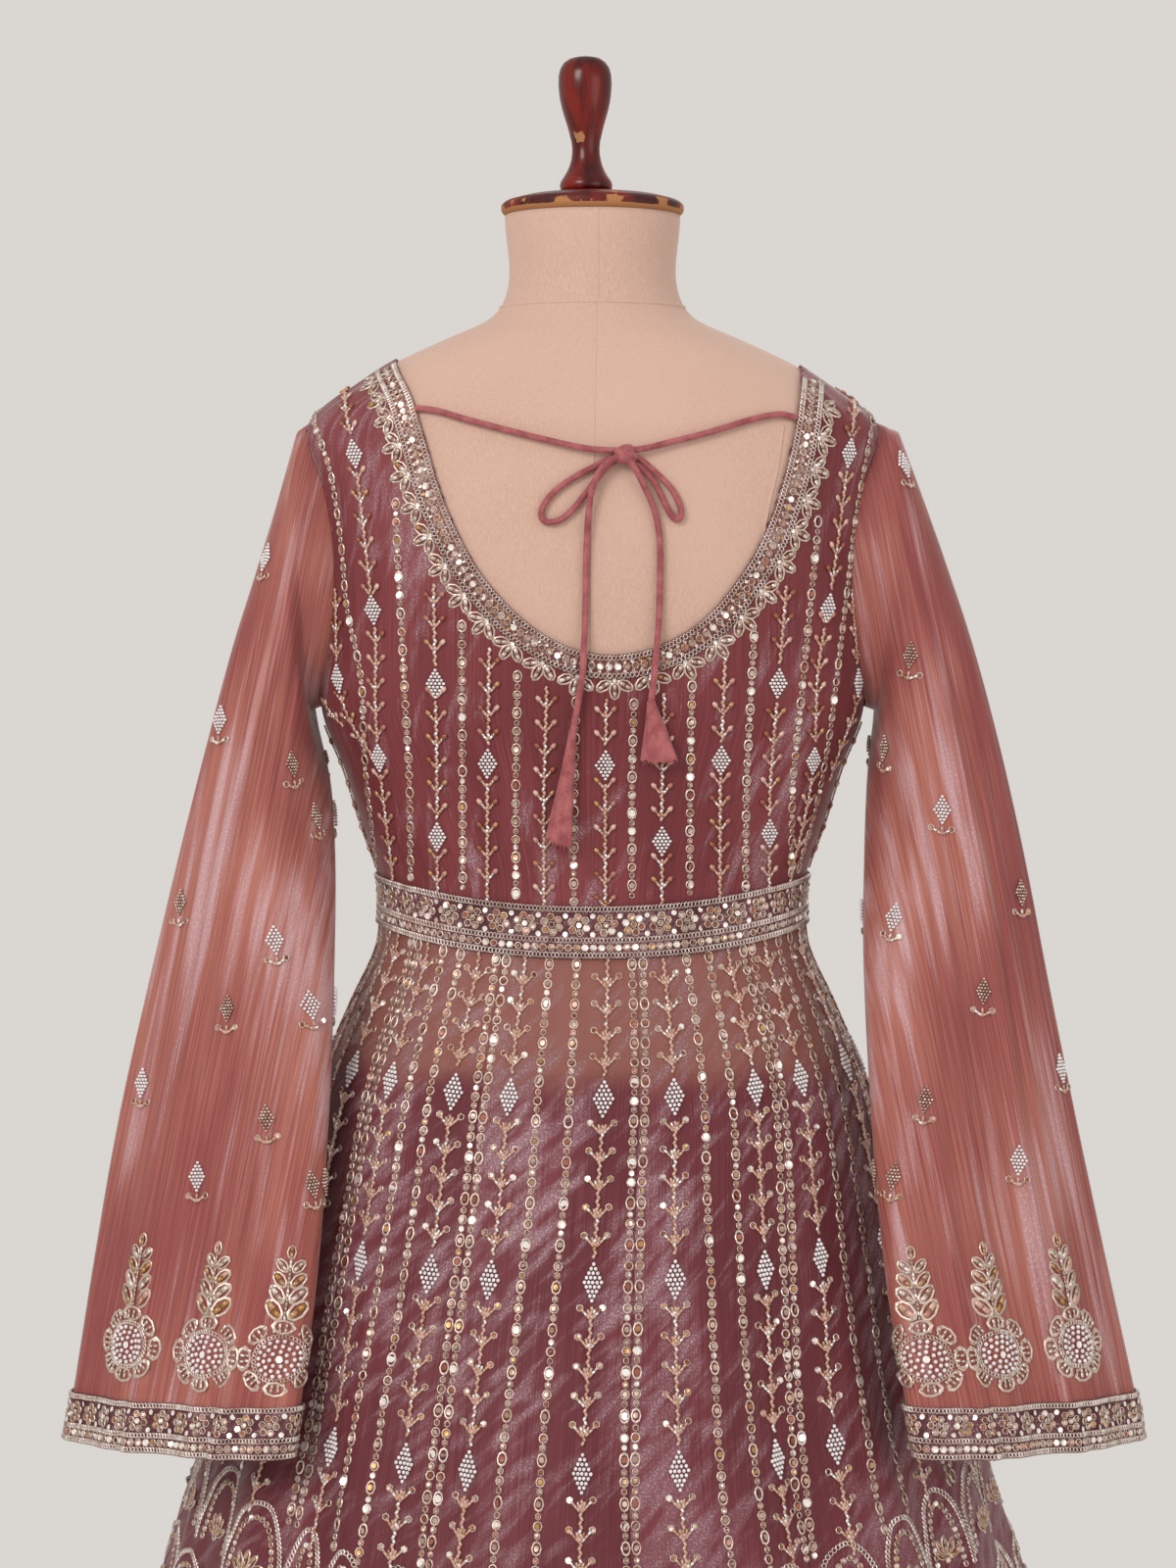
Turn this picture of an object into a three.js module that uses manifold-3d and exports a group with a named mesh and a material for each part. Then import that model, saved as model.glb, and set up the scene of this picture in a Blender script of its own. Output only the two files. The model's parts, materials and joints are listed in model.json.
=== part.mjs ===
// Anarkali dress with bell sleeves, worn by a limbless dress form on a turned stand.
// Millimetres, +Z up. The floor is z = 0 and the form's axis is the Z axis. The back of the
// dress faces -Y and its right sleeve is on +X. Angles run round the body in degrees from the
// centre back (0) over the right side seam (90) to the centre front (180).

import * as THREE from 'three';
import { mergeVertices } from 'three/addons/utils/BufferGeometryUtils.js';
import Module from 'manifold-3d';

const wasm = await Module();
wasm.setup();

// ---------------------------------------------------------------- driving dimensions

const cloth = 1.2;
const trim = 1.2;
const seamGap = 0.3;
const formClearance = 1.0;

const formBottom = 820;
const neckTop = 1519;
const bodyColumns = 36;

const waistSide = 1070;
const waistDip = 16;
const beltHeight = 34;
const beltWall = 1.6;
const beltRoom = 0.75;
const sideSeamY = -10;
const bodiceTop = 1440;

const armholeCentreY = -6;
const armholeCentreZ = 1291;
const armholeHalfHeight = 95;
const armholeHalfDepth = 46;

const armholeStand = 1.7;
const sleeveColumnCount = 24;
const sides = [{ name: 'left', side: -1 }, { name: 'right', side: 1 }];

const neckBorderWidth = 14.5;

const hem = 15;
const liningTop = 966;
const liningHem = 32;
const liningInset = 9;
const panelCount = 10;

const doriDiameter = 4.2;
const doriSides = 8;
const knotCentre = new THREE.Vector3(20.5, -107.4, 1358.6);
const knotSize = new THREE.Vector3(15, 12, 14);
const tasselPleats = 5;
const tassels = [
  { name: 'left', top: [-12.7, -103, 1182.6], bottom: [-22.4, -98.5, 1112.2], halfWidth: 9, halfDepth: 4.5 },
  { name: 'right', top: [37, -104, 1202], bottom: [42.6, -101.5, 1163.8], halfWidth: 12, halfDepth: 5 },
];

const capDiameter = 120;
const baseDiameter = 430;
const baseThickness = 24;
const poleDiameter = 34;

// ---------------------------------------------------------------- tables

// The form from its underside to its neck: half width, back and front in Y, the Y of its
// widest points, and the squareness of the ring (2 is an ellipse).
const formRows = [
  { z: 820, half: 168, back: -112, front: 100, ridge: 0, square: 2.2 },
  { z: 870, half: 171, back: -117, front: 102, ridge: 0, square: 2.2 },
  { z: 920, half: 167, back: -114, front: 101, ridge: 0, square: 2.2 },
  { z: 974, half: 156, back: -106, front: 98, ridge: 0, square: 2.2 },
  { z: 1020, half: 143, back: -95, front: 94, ridge: 0, square: 2.2 },
  { z: 1040, half: 139.5, back: -90.5, front: 92.5, ridge: 0, square: 2.2 },
  { z: 1055, half: 138, back: -88.5, front: 92, ridge: 0, square: 2.2 },
  { z: 1070, half: 138, back: -88, front: 92.5, ridge: 0, square: 2.2 },
  { z: 1088, half: 141, back: -88, front: 94, ridge: 0, square: 2.2 },
  { z: 1120, half: 152, back: -90, front: 99, ridge: 0, square: 2.3 },
  { z: 1156, half: 163, back: -93, front: 107, ridge: 0, square: 2.4 },
  { z: 1193, half: 177, back: -96, front: 116, ridge: -2, square: 2.5 },
  { z: 1230, half: 178, back: -99, front: 120, ridge: -3, square: 2.5 },
  { z: 1270, half: 177, back: -102, front: 114, ridge: -4, square: 2.5 },
  { z: 1310, half: 178, back: -103, front: 105, ridge: -5, square: 2.5 },
  { z: 1345, half: 182, back: -102, front: 93, ridge: -7, square: 2.4 },
  { z: 1370, half: 187, back: -99, front: 83, ridge: -9, square: 2.3 },
  { z: 1384, half: 184, back: -97, front: 76, ridge: -10, square: 2.3 },
  { z: 1394, half: 173, back: -94, front: 70, ridge: -10, square: 2.3 },
  { z: 1408, half: 153, back: -90, front: 62, ridge: -11, square: 2.2 },
  { z: 1422, half: 131, back: -85, front: 55, ridge: -12, square: 2.2 },
  { z: 1438, half: 97, back: -79, front: 50, ridge: -12, square: 2.1 },
  { z: 1450, half: 70, back: -73, front: 47, ridge: -12, square: 2 },
  { z: 1462, half: 59, back: -70, front: 46, ridge: -12, square: 2 },
  { z: 1519, half: 57.5, back: -69, front: 45, ridge: -12, square: 2 },
];

// The skirt's middle surface before its folds, from the waist seam to the hem.
const skirtRows = [
  { z: 1090, half: 140, back: -89.5, front: 94 },
  { z: 1070, half: 140, back: -90, front: 94.5 },
  { z: 1055, half: 140.5, back: -91, front: 94.5 },
  { z: 1037, half: 143, back: -95, front: 96.5 },
  { z: 1000, half: 160, back: -110, front: 110 },
  { z: 947, half: 183, back: -140, front: 139 },
  { z: 870, half: 208, back: -174, front: 172 },
  { z: 696, half: 264, back: -239, front: 236 },
  { z: 500, half: 328, back: -309, front: 306 },
  { z: 250, half: 410, back: -397, front: 396 },
  { z: 15, half: 484, back: -472, front: 475 },
];

// The ten panel seams, in degrees at the waist and from a little below the hips down.
const seamRows = [
  { waist: -53, low: -46 },
  { waist: -22, low: -23 },
  { waist: 10, low: 5 },
  { waist: 43, low: 31 },
  { waist: 80, low: 62 },
  { waist: 121, low: 104 },
  { waist: 158, low: 147 },
  { waist: 190, low: 189 },
  { waist: 223, low: 231 },
  { waist: 264, low: 274 },
];

// The skirt's soft folds: where the trough lies, where it starts, its depth at the hem and
// half its width in degrees.
const foldRows = [
  { turn: -23, start: 900, depth: 40, width: 6.5 },
  { turn: -44, start: 940, depth: 30, width: 6 },
  { turn: -66, start: 960, depth: 34, width: 7 },
  { turn: -80, start: 820, depth: 26, width: 7 },
  { turn: -104, start: 930, depth: 38, width: 7.5 },
  { turn: -132, start: 860, depth: 30, width: 7 },
  { turn: -161, start: 930, depth: 36, width: 7.5 },
  { turn: -8, start: 620, depth: 14, width: 5 },
  { turn: 9, start: 800, depth: 24, width: 6 },
  { turn: 31, start: 960, depth: 36, width: 6.5 },
  { turn: 54, start: 900, depth: 32, width: 6.5 },
  { turn: 77, start: 950, depth: 30, width: 7 },
  { turn: 101, start: 860, depth: 36, width: 7.5 },
  { turn: 126, start: 930, depth: 30, width: 7 },
  { turn: 150, start: 880, depth: 38, width: 8 },
  { turn: 175, start: 940, depth: 28, width: 7 },
];

// The back neckline's edge from the shoulders to its lowest point.
const backNeckRows = [
  { z: 1440, left: -131, right: 137 },
  { z: 1418, left: -127, right: 136 },
  { z: 1395, left: -116, right: 133 },
  { z: 1368, left: -107, right: 128 },
  { z: 1344, left: -100, right: 122 },
  { z: 1322, left: -92, right: 115 },
  { z: 1299, left: -81, right: 105 },
  { z: 1280, left: -69, right: 93 },
  { z: 1260, left: -51, right: 77 },
  { z: 1245, left: -32, right: 58 },
  { z: 1235, left: -11, right: 36 },
];
const backNeckLow = { x: 12, z: 1231.5 };

const frontNeckRows = [
  { z: 1440, left: -131, right: 137 },
  { z: 1418, left: -127, right: 136 },
  { z: 1395, left: -121, right: 129 },
  { z: 1365, left: -111, right: 119 },
  { z: 1335, left: -94, right: 102 },
  { z: 1312, left: -68, right: 76 },
  { z: 1299, left: -36, right: 44 },
];
const frontNeckLow = { x: 4, z: 1295 };

// Each sleeve from just outside the armhole to its hem: the outer and the inner edge in X and
// Z, their Y, and half the sleeve's depth between them. The last row but one is the cuff's top.
const sleeveRows = [
  { outZ: 1378, outLeft: 195, outRight: 202, inZ: 1194, inLeft: 187, inRight: 188, outY: -6, inY: -7, depth: 50 },
  { outZ: 1345, outLeft: 204, outRight: 214, inZ: 1184, inLeft: 185, inRight: 187, outY: -10, inY: -10, depth: 50 },
  { outZ: 1296, outLeft: 218, outRight: 231, inZ: 1166, inLeft: 180, inRight: 184, outY: -16, inY: -18, depth: 48 },
  { outZ: 1240, outLeft: 234, outRight: 248, inZ: 1138, inLeft: 174, inRight: 182, outY: -22, inY: -34, depth: 45 },
  { outZ: 1175, outLeft: 250, outRight: 264, inZ: 1095, inLeft: 171, inRight: 180, outY: -29, inY: -56, depth: 42 },
  { outZ: 1100, outLeft: 268, outRight: 280, inZ: 1040, inLeft: 170, inRight: 178, outY: -36, inY: -82, depth: 39 },
  { outZ: 1020, outLeft: 287, outRight: 295, inZ: 975, inLeft: 170, inRight: 179, outY: -43, inY: -107, depth: 36 },
  { outZ: 935, outLeft: 306, outRight: 312, inZ: 905, inLeft: 172, inRight: 182, outY: -50, inY: -131, depth: 34 },
  { outZ: 850, outLeft: 321, outRight: 330, inZ: 838, inLeft: 176, inRight: 187, outY: -57, inY: -154, depth: 32 },
  { outZ: 753, outLeft: 336, outRight: 351, inZ: 768, inLeft: 184, inRight: 197, outY: -65, inY: -180, depth: 30 },
  { outZ: 722, outLeft: 341, outRight: 356, inZ: 737, inLeft: 189, inRight: 203, outY: -68, inY: -190, depth: 30 },
];

// Long soft folds of a sleeve: where they lie round it, in degrees, their depth and width.
const sleeveFoldRows = [
  { turn: 52, depth: 7, width: 16 },
  { turn: 96, depth: 9, width: 17 },
  { turn: 137, depth: 6, width: 14 },
  { turn: 232, depth: 7, width: 16 },
  { turn: 282, depth: 8, width: 18 },
];

// The two back ties, each from under the neck border to its tassel: every tie is a run to the
// knot, a loop and a tail. Points are X, Y, Z.
const doriRoutes = {
  left: {
    run: [
      [-112.8, -84.2, 1389.5],
      [-108.1, -86.0, 1389.1],
      [-98.5, -89.6, 1387.7],
      [-82.7, -94.6, 1382.4],
      [-56.5, -99.6, 1375.4],
      [-39.0, -101.8, 1370.9],
      [-21.0, -103.8, 1366.5],
      [-3.6, -105.5, 1362.7],
      [8.2, -106.4, 1361.8],
      [16.2, -106.7, 1361.7],
    ],
    loop: [
      [16.2, -104.0, 1358.8],
      [9.4, -104.0, 1356.6],
      [3.2, -104.1, 1352.6],
      [-11.1, -104.7, 1345.4],
      [-26.0, -104.7, 1334.9],
      [-32.8, -104.8, 1324.7],
      [-32.5, -105.0, 1318.2],
      [-27.5, -105.3, 1315.7],
      [-18.8, -105.4, 1318.2],
      [-10.8, -105.3, 1326.2],
      [-4.5, -105.1, 1334.3],
      [0.7, -105.0, 1341.7],
      [6.9, -104.9, 1349.1],
      [13.8, -105.1, 1355.3],
    ],
    tail: [
      [15.6, -109.9, 1357.6],
      [8.8, -110.3, 1353.9],
      [2.6, -110.5, 1346.5],
      [-1.1, -109.9, 1335.4],
      [-2.7, -108.2, 1323.1],
      [-3.6, -106.5, 1307.6],
      [-4.2, -105.5, 1291.5],
      [-4.6, -104.6, 1262.4],
      [-5.2, -105.0, 1243.7],
      [-5.8, -106.6, 1232.6],
      [-6.4, -105.9, 1218.9],
      [-9.2, -104.0, 1203.3],
      [-11.7, -102.7, 1187.6],
      [-13.6, -102.2, 1178.2],
    ],
  },
  right: {
    run: [
      [130.2, -80.4, 1383.8],
      [125.4, -82.2, 1384.9],
      [119.7, -83.9, 1386.1],
      [101.9, -90.3, 1382.6],
      [75.4, -97.3, 1373.6],
      [49.2, -102.2, 1367.2],
      [35.5, -104.6, 1363.4],
      [26.8, -106.2, 1362.1],
      [23.7, -106.5, 1361.8],
    ],
    loop: [
      [24.3, -103.8, 1358.8],
      [28.7, -103.6, 1357.2],
      [33.6, -103.4, 1353.5],
      [41.1, -103.5, 1346.7],
      [49.2, -103.3, 1339.0],
      [54.8, -103.1, 1329.4],
      [56.7, -103.2, 1321.6],
      [54.5, -103.5, 1317.6],
      [50.7, -103.8, 1319.2],
      [46.1, -103.9, 1326.9],
      [42.3, -103.9, 1335.6],
      [38.0, -103.9, 1343.0],
      [31.8, -104.0, 1349.8],
      [25.6, -105.2, 1353.8],
    ],
    tail: [
      [22.4, -109.7, 1356.4],
      [25.5, -109.7, 1351.8],
      [28.9, -109.2, 1346.5],
      [33.6, -107.2, 1336.7],
      [39.2, -105.4, 1324.7],
      [42.0, -105.0, 1312.0],
      [43.0, -104.5, 1296.5],
      [42.7, -104.1, 1279.8],
      [42.4, -103.7, 1262.4],
      [41.5, -104.5, 1246.8],
      [40.5, -105.8, 1235.0],
      [39.3, -105.0, 1218.9],
      [37.5, -103.7, 1206.4],
      [36.8, -103.2, 1198.9],
    ],
  },
};

// ---------------------------------------------------------------- reading the tables

function tableReader(rows, key, columns) {
  const ordered = rows.slice().sort((a, b) => a[key] - b[key]);
  const places = ordered.map((row) => row[key]);
  const values = ordered.flatMap((row) => columns.map((column) => row[column]));
  const curve = new THREE.CubicInterpolant(places, values, columns.length);
  return (place) => {
    const clamped = THREE.MathUtils.clamp(place, places[0], places[places.length - 1]);
    const found = curve.evaluate(clamped);
    return Object.fromEntries(columns.map((column, index) => [column, found[index]]));
  };
}

const readForm = tableReader(formRows, 'z', ['half', 'back', 'front', 'ridge', 'square']);
const readSkirt = tableReader(skirtRows, 'z', ['half', 'back', 'front']);
const sleeveColumns = ['outZ', 'outLeft', 'outRight', 'inZ', 'inLeft', 'inRight', 'outY', 'inY', 'depth'];
const numberedSleeveRows = sleeveRows.map((row, index) => ({ index, ...row }));
const readSleeve = tableReader(numberedSleeveRows, 'index', sleeveColumns);

// ---------------------------------------------------------------- surfaces

function radians(degrees) {
  return degrees * Math.PI / 180;
}

function signedPower(value, power) {
  return Math.sign(value) * Math.abs(value) ** power;
}

function ringPoint(ring, turn, z) {
  const power = 2 / ring.square;
  const side = signedPower(Math.sin(radians(turn)), power);
  const depth = signedPower(Math.cos(radians(turn)), power);
  const reach = depth > 0 ? ring.back - ring.ridge : ring.ridge - ring.front;
  return new THREE.Vector3(ring.half * side, ring.ridge + reach * depth, z);
}

// A point of a surface(turn, height), moved out along the surface's own normal.
function lifted(surface, turn, height, lift) {
  const turnStep = 0.6;
  const heightStep = 1.5;
  const across = surface(turn + turnStep, height).sub(surface(turn - turnStep, height));
  const along = surface(turn, height + heightStep).sub(surface(turn, height - heightStep));
  const normal = across.cross(along).normalize();
  return surface(turn, height).addScaledVector(normal, lift);
}

function formSurface(turn, z) {
  return ringPoint(readForm(z), turn, z);
}

function waistSeam(turn) {
  return waistSide - waistDip * Math.cos(radians(turn)) ** 2;
}

// The bodice starts at the waist seam and then follows the form's own rings.
function bodiceHeight(turn, row) {
  return row === 0 ? waistSeam(turn) + seamGap / 2 : bodiceHeights[row];
}

function foldDepth(turn, z) {
  let depth = 0;
  for (const fold of foldRows) {
    const away = THREE.MathUtils.euclideanModulo(turn - fold.turn + 180, 360) - 180;
    const grown = Math.max(0, (fold.start - z) / (fold.start - hem)) ** 1.15;
    depth += fold.depth * grown * Math.exp(-((away / fold.width) ** 2));
  }
  return depth;
}

function skirtSurface(turn, z) {
  const square = THREE.MathUtils.clamp(THREE.MathUtils.mapLinear(z, 1055, 900, 2.2, 2), 2, 2.2);
  const point = ringPoint({ ...readSkirt(z), ridge: 0, square }, turn, z);
  const radius = Math.hypot(point.x, point.y);
  const scale = (radius - foldDepth(turn, z)) / radius;
  return point.multiply(new THREE.Vector3(scale, scale, 1));
}

// The lining is plainer and less full: it passes inside every trough of the skirt.
function liningSurface(turn, z) {
  const point = ringPoint({ ...readSkirt(z), ridge: 0, square: 2 }, turn, z);
  const radius = Math.hypot(point.x, point.y);
  const deepest = 42 * THREE.MathUtils.clamp((liningTop - z) / (liningTop - hem), 0, 1);
  const scale = (radius - liningInset - deepest) / radius;
  return point.multiply(new THREE.Vector3(scale, scale, 1));
}

function seamTurn(index, z) {
  const seam = seamRows[index % panelCount];
  const settled = THREE.MathUtils.smoothstep(-z, -waistSide, -700);
  const lap = index >= panelCount ? 360 : 0;
  return THREE.MathUtils.lerp(seam.waist, seam.low, settled) + lap;
}

// ---------------------------------------------------------------- building solids

function quads(faces, a, b, c, d) {
  faces.push(a, b, c, a, c, d);
}

// A wall of cloth between two grids of points, outer(u, v) and inner(u, v), with u and v from
// 0 to 1. A closed wall joins its last column to its first.
function clothWall({ across, along, outer, inner, closed = false }) {
  const columns = closed ? across : across + 1;
  const rows = along + 1;
  const positions = [];
  for (const side of [outer, inner]) {
    for (let row = 0; row < rows; row += 1) {
      for (let column = 0; column < columns; column += 1) {
        positions.push(...side(column / across, row / along).toArray());
      }
    }
  }
  const at = (layer, column, row) => layer * columns * rows + row * columns + (column % columns);
  const faces = [];
  for (let row = 0; row < along; row += 1) {
    for (let column = 0; column < across; column += 1) {
      const next = column + 1;
      quads(faces, at(0, column, row), at(0, next, row), at(0, next, row + 1), at(0, column, row + 1));
      quads(faces, at(1, column, row), at(1, column, row + 1), at(1, next, row + 1), at(1, next, row));
    }
  }
  for (let column = 0; column < across; column += 1) {
    const next = column + 1;
    quads(faces, at(0, column, 0), at(1, column, 0), at(1, next, 0), at(0, next, 0));
    quads(faces, at(0, column, along), at(0, next, along), at(1, next, along), at(1, column, along));
  }
  if (!closed) {
    for (let row = 0; row < along; row += 1) {
      quads(faces, at(0, 0, row), at(0, 0, row + 1), at(1, 0, row + 1), at(1, 0, row));
      quads(faces, at(0, across, row), at(1, across, row), at(1, across, row + 1), at(0, across, row + 1));
    }
  }
  return indexedGeometry(positions, faces);
}

// A solid lofted through rings of points, closed by a fan at each end.
function loftSolid({ across, along, point }) {
  const positions = [];
  for (let row = 0; row <= along; row += 1) {
    for (let column = 0; column < across; column += 1) {
      positions.push(...point(column / across, row).toArray());
    }
  }
  const ring = (row) => positions.slice(row * across * 3, (row + 1) * across * 3);
  for (const row of [0, along]) {
    const end = ring(row);
    const centre = [0, 1, 2].map((axis) => end.filter((value, index) => index % 3 === axis)
      .reduce((sum, value) => sum + value, 0) / across);
    positions.push(...centre);
  }
  const at = (column, row) => row * across + (column % across);
  const bottom = (along + 1) * across;
  const top = bottom + 1;
  const faces = [];
  for (let column = 0; column < across; column += 1) {
    for (let row = 0; row < along; row += 1) {
      quads(faces, at(column, row), at(column + 1, row), at(column + 1, row + 1), at(column, row + 1));
    }
    faces.push(bottom, at(column + 1, 0), at(column, 0));
    faces.push(top, at(column, along), at(column + 1, along));
  }
  return indexedGeometry(positions, faces);
}

function indexedGeometry(positions, faces) {
  const geometry = new THREE.BufferGeometry();
  geometry.setAttribute('position', new THREE.Float32BufferAttribute(positions, 3));
  geometry.setIndex(faces);
  return geometry;
}

function toSolid(geometry) {
  const bare = geometry.clone();
  bare.deleteAttribute('normal');
  bare.deleteAttribute('uv');
  const merged = mergeVertices(bare, 1e-4);
  const vertProperties = new Float32Array(merged.attributes.position.array);
  const triVerts = new Uint32Array(merged.index.array);
  return new wasm.Manifold(new wasm.Mesh({ numProp: 3, vertProperties, triVerts }));
}

function toGeometry(solid) {
  const mesh = solid.getMesh();
  return indexedGeometry(Array.from(mesh.vertProperties), Array.from(mesh.triVerts));
}

// ---------------------------------------------------------------- materials

function finish(color, roughness, metalness = 0) {
  return new THREE.MeshStandardMaterial({ color, roughness, metalness, side: THREE.DoubleSide });
}

const finishes = {
  body: finish(0x8a4650, 0.5),
  sleeve: finish(0xb9685f, 0.45),
  lining: finish(0x6b2a36, 0.7),
  gold: finish(0xbfa887, 0.35, 0.6),
  dori: finish(0xad5558, 0.7),
  form: finish(0xd9b79a, 0.85),
  wood: finish(0x5c1f16, 0.35),
  iron: finish(0x3a332f, 0.5, 0.4),
};

const dress = new THREE.Group();

function add(name, geometry, material) {
  const mesh = new THREE.Mesh(geometry, material);
  mesh.name = name;
  dress.add(mesh);
  return mesh;
}

// ---------------------------------------------------------------- dress form and stand

// The form's rings lie at the table's own heights, so that the bodice over it stays parallel.
const formHeights = formRows.map((row) => row.z);
add('form_torso', loftSolid({
  across: bodyColumns,
  along: formHeights.length - 1,
  point: (u, row) => formSurface(u * 360, formHeights[row]),
}), finishes.form);

function turned(profile, segments) {
  const points = profile.map(([radius, height]) => new THREE.Vector2(radius, height));
  const geometry = new THREE.LatheGeometry(points, segments);
  geometry.rotateX(Math.PI / 2);
  return geometry;
}

const neckAxisY = -12;
const capBottom = neckTop + seamGap;
const capRadius = capDiameter / 2;
const capHeight = 14.8;
const cap = turned([
  [0, 0],
  [capRadius - 2.5, 0],
  [capRadius, 2.5],
  [capRadius, 6.5],
  [capRadius - 3, 9],
  [capRadius - 14, 12],
  [24, capHeight],
  [0, capHeight],
], 24);
cap.translate(0, neckAxisY, capBottom);
add('neck_cap', cap, finishes.wood);

const finialBottom = capBottom + capHeight + seamGap;
const finialTilt = new THREE.Vector2(-4, neckAxisY);
const finial = turned([
  [0, 0],
  [16.5, 0],
  [17.2, 2.5],
  [17, 7],
  [13.5, 13],
  [10, 21],
  [9.2, 28],
  [10.6, 37],
  [14, 49],
  [16.8, 60],
  [17.8, 71],
  [17, 80],
  [13.5, 85.5],
  [8, 88],
  [0, 88.7],
], 14);
finial.translate(finialTilt.x, finialTilt.y, finialBottom);
add('neck_finial', finial, finishes.wood);

const baseRadius = baseDiameter / 2;
add('stand_base', turned([
  [0, 0],
  [baseRadius, 0],
  [baseRadius, 14],
  [baseRadius - 10, baseThickness],
  [70, baseThickness + 4],
  [46, baseThickness + 22],
  [0, baseThickness + 22],
], 28), finishes.wood);

const poleBottom = baseThickness + 22 + seamGap;
const poleLength = formBottom - seamGap - poleBottom;
const pole = new THREE.CylinderGeometry(poleDiameter / 2, poleDiameter / 2, poleLength, 16);
pole.rotateX(Math.PI / 2);
pole.translate(0, 0, poleBottom + poleLength / 2);
add('stand_pole', pole, finishes.iron);

// ---------------------------------------------------------------- bodice

const bodiceHeights = [waistSide, ...formHeights.filter((z) => z > waistSide && z < bodiceTop)];

// A solid of the bodice's form. Where it hollows out another, it runs past it at the waist.
function bodiceLoft(lift, overrun = 0) {
  const rows = bodiceHeights.length - 1;
  const surface = (turn, row) => lifted(formSurface, turn, bodiceHeight(turn, row), lift);
  const below = (turn) => surface(turn, 0).sub(new THREE.Vector3(0, 0, overrun));
  const extra = overrun > 0 ? 1 : 0;
  return toSolid(loftSolid({
    across: bodyColumns,
    along: rows + extra,
    point: (u, row) => (row < extra ? below(u * 360) : surface(u * 360, row - extra)),
  }));
}

const shellLifts = {
  clothInside: formClearance,
  clothOutside: formClearance + cloth,
  trimInside: formClearance + cloth + seamGap,
  trimOutside: formClearance + cloth + seamGap + trim,
};

function neckEdge(rows, low) {
  const left = rows.map((row) => new THREE.Vector2(row.left, row.z));
  const right = rows.map((row) => new THREE.Vector2(row.right, row.z)).reverse();
  return new THREE.SplineCurve([...left, new THREE.Vector2(low.x, low.z), ...right]);
}

const neckSteps = 26;

function neckHole(edge) {
  const rim = edge.getSpacedPoints(neckSteps);
  const above = [new THREE.Vector2(rim[neckSteps].x, 1500), new THREE.Vector2(rim[0].x, 1500)];
  return standingCut(new THREE.Shape([...rim, ...above]));
}

function neckStrip(edge) {
  const rim = edge.getSpacedPoints(neckSteps);
  const outside = rim.map((point, index) => {
    const tangent = edge.getTangentAt(index / neckSteps);
    return new THREE.Vector2(point.x + tangent.y * neckBorderWidth, point.y - tangent.x * neckBorderWidth);
  });
  return standingCut(new THREE.Shape([...rim, ...outside.reverse()]));
}

// A shape drawn in X and Z, pushed through the whole body along Y.
function standingCut(shape) {
  const reach = 300;
  const geometry = new THREE.ExtrudeGeometry(shape, { depth: 2 * reach, bevelEnabled: false, steps: 1 });
  geometry.rotateX(Math.PI / 2);
  geometry.translate(0, reach, 0);
  return toSolid(geometry);
}

function halfSpace(side) {
  const size = 1000;
  const box = new THREE.BoxGeometry(size, size, 2 * size);
  box.translate(0, sideSeamY + side * (size / 2 + seamGap / 2), 1000);
  return toSolid(box);
}

function armholeCut(side) {
  const length = 160;
  const inside = 120;
  const hole = new THREE.CylinderGeometry(1, 1, length, 40);
  hole.rotateZ(Math.PI / 2);
  hole.scale(1, armholeHalfDepth, armholeHalfHeight);
  hole.translate(side * (inside + length / 2), armholeCentreY, armholeCentreZ);
  return toSolid(hole);
}

const overrun = 6;
const insideBodice = bodiceLoft(shellLifts.clothInside, overrun);
const outsideBodice = bodiceLoft(shellLifts.clothOutside);
const insideTrim = bodiceLoft(shellLifts.trimInside, overrun);
const outsideTrim = bodiceLoft(shellLifts.trimOutside);
const bodiceShell = outsideBodice.subtract(insideBodice).subtract(armholeCut(-1)).subtract(armholeCut(1));
const trimShell = outsideTrim.subtract(insideTrim);

const panels = [
  { name: 'back', side: -1, edge: neckEdge(backNeckRows, backNeckLow) },
  { name: 'front', side: 1, edge: neckEdge(frontNeckRows, frontNeckLow) },
];
for (const { name, side, edge } of panels) {
  const half = halfSpace(side);
  const hole = neckHole(edge);
  add(`bodice_${name}`, toGeometry(bodiceShell.intersect(half).subtract(hole)), finishes.body);
  const border = trimShell.intersect(half).intersect(neckStrip(edge)).subtract(hole);
  add(`neck_border_${name}`, toGeometry(border), finishes.gold);
}

// ---------------------------------------------------------------- sleeves

// The armhole seam: a ring on the body's side, just inside the bodice's cut edge.
function armholeSeam(side, turn) {
  const room = seamGap + cloth / 2 + 0.15;
  const y = armholeCentreY - (armholeHalfDepth - room) * Math.sin(radians(turn));
  const z = armholeCentreZ + (armholeHalfHeight - room) * Math.cos(radians(turn));
  const ring = readForm(z);
  const reach = y < ring.ridge ? ring.ridge - ring.back : ring.front - ring.ridge;
  const share = Math.min(1, Math.abs(y - ring.ridge) / reach);
  const half = ring.half * (1 - share ** ring.square) ** (1 / ring.square);
  return new THREE.Vector3(side * (half + armholeStand), y, z);
}

function sleeveFold(turn, fall) {
  let depth = 0;
  for (const fold of sleeveFoldRows) {
    const away = THREE.MathUtils.euclideanModulo(turn - fold.turn + 180, 360) - 180;
    depth += fold.depth * Math.exp(-((away / fold.width) ** 2));
  }
  return depth * THREE.MathUtils.smoothstep(fall, 0.12, 0.45);
}

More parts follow.
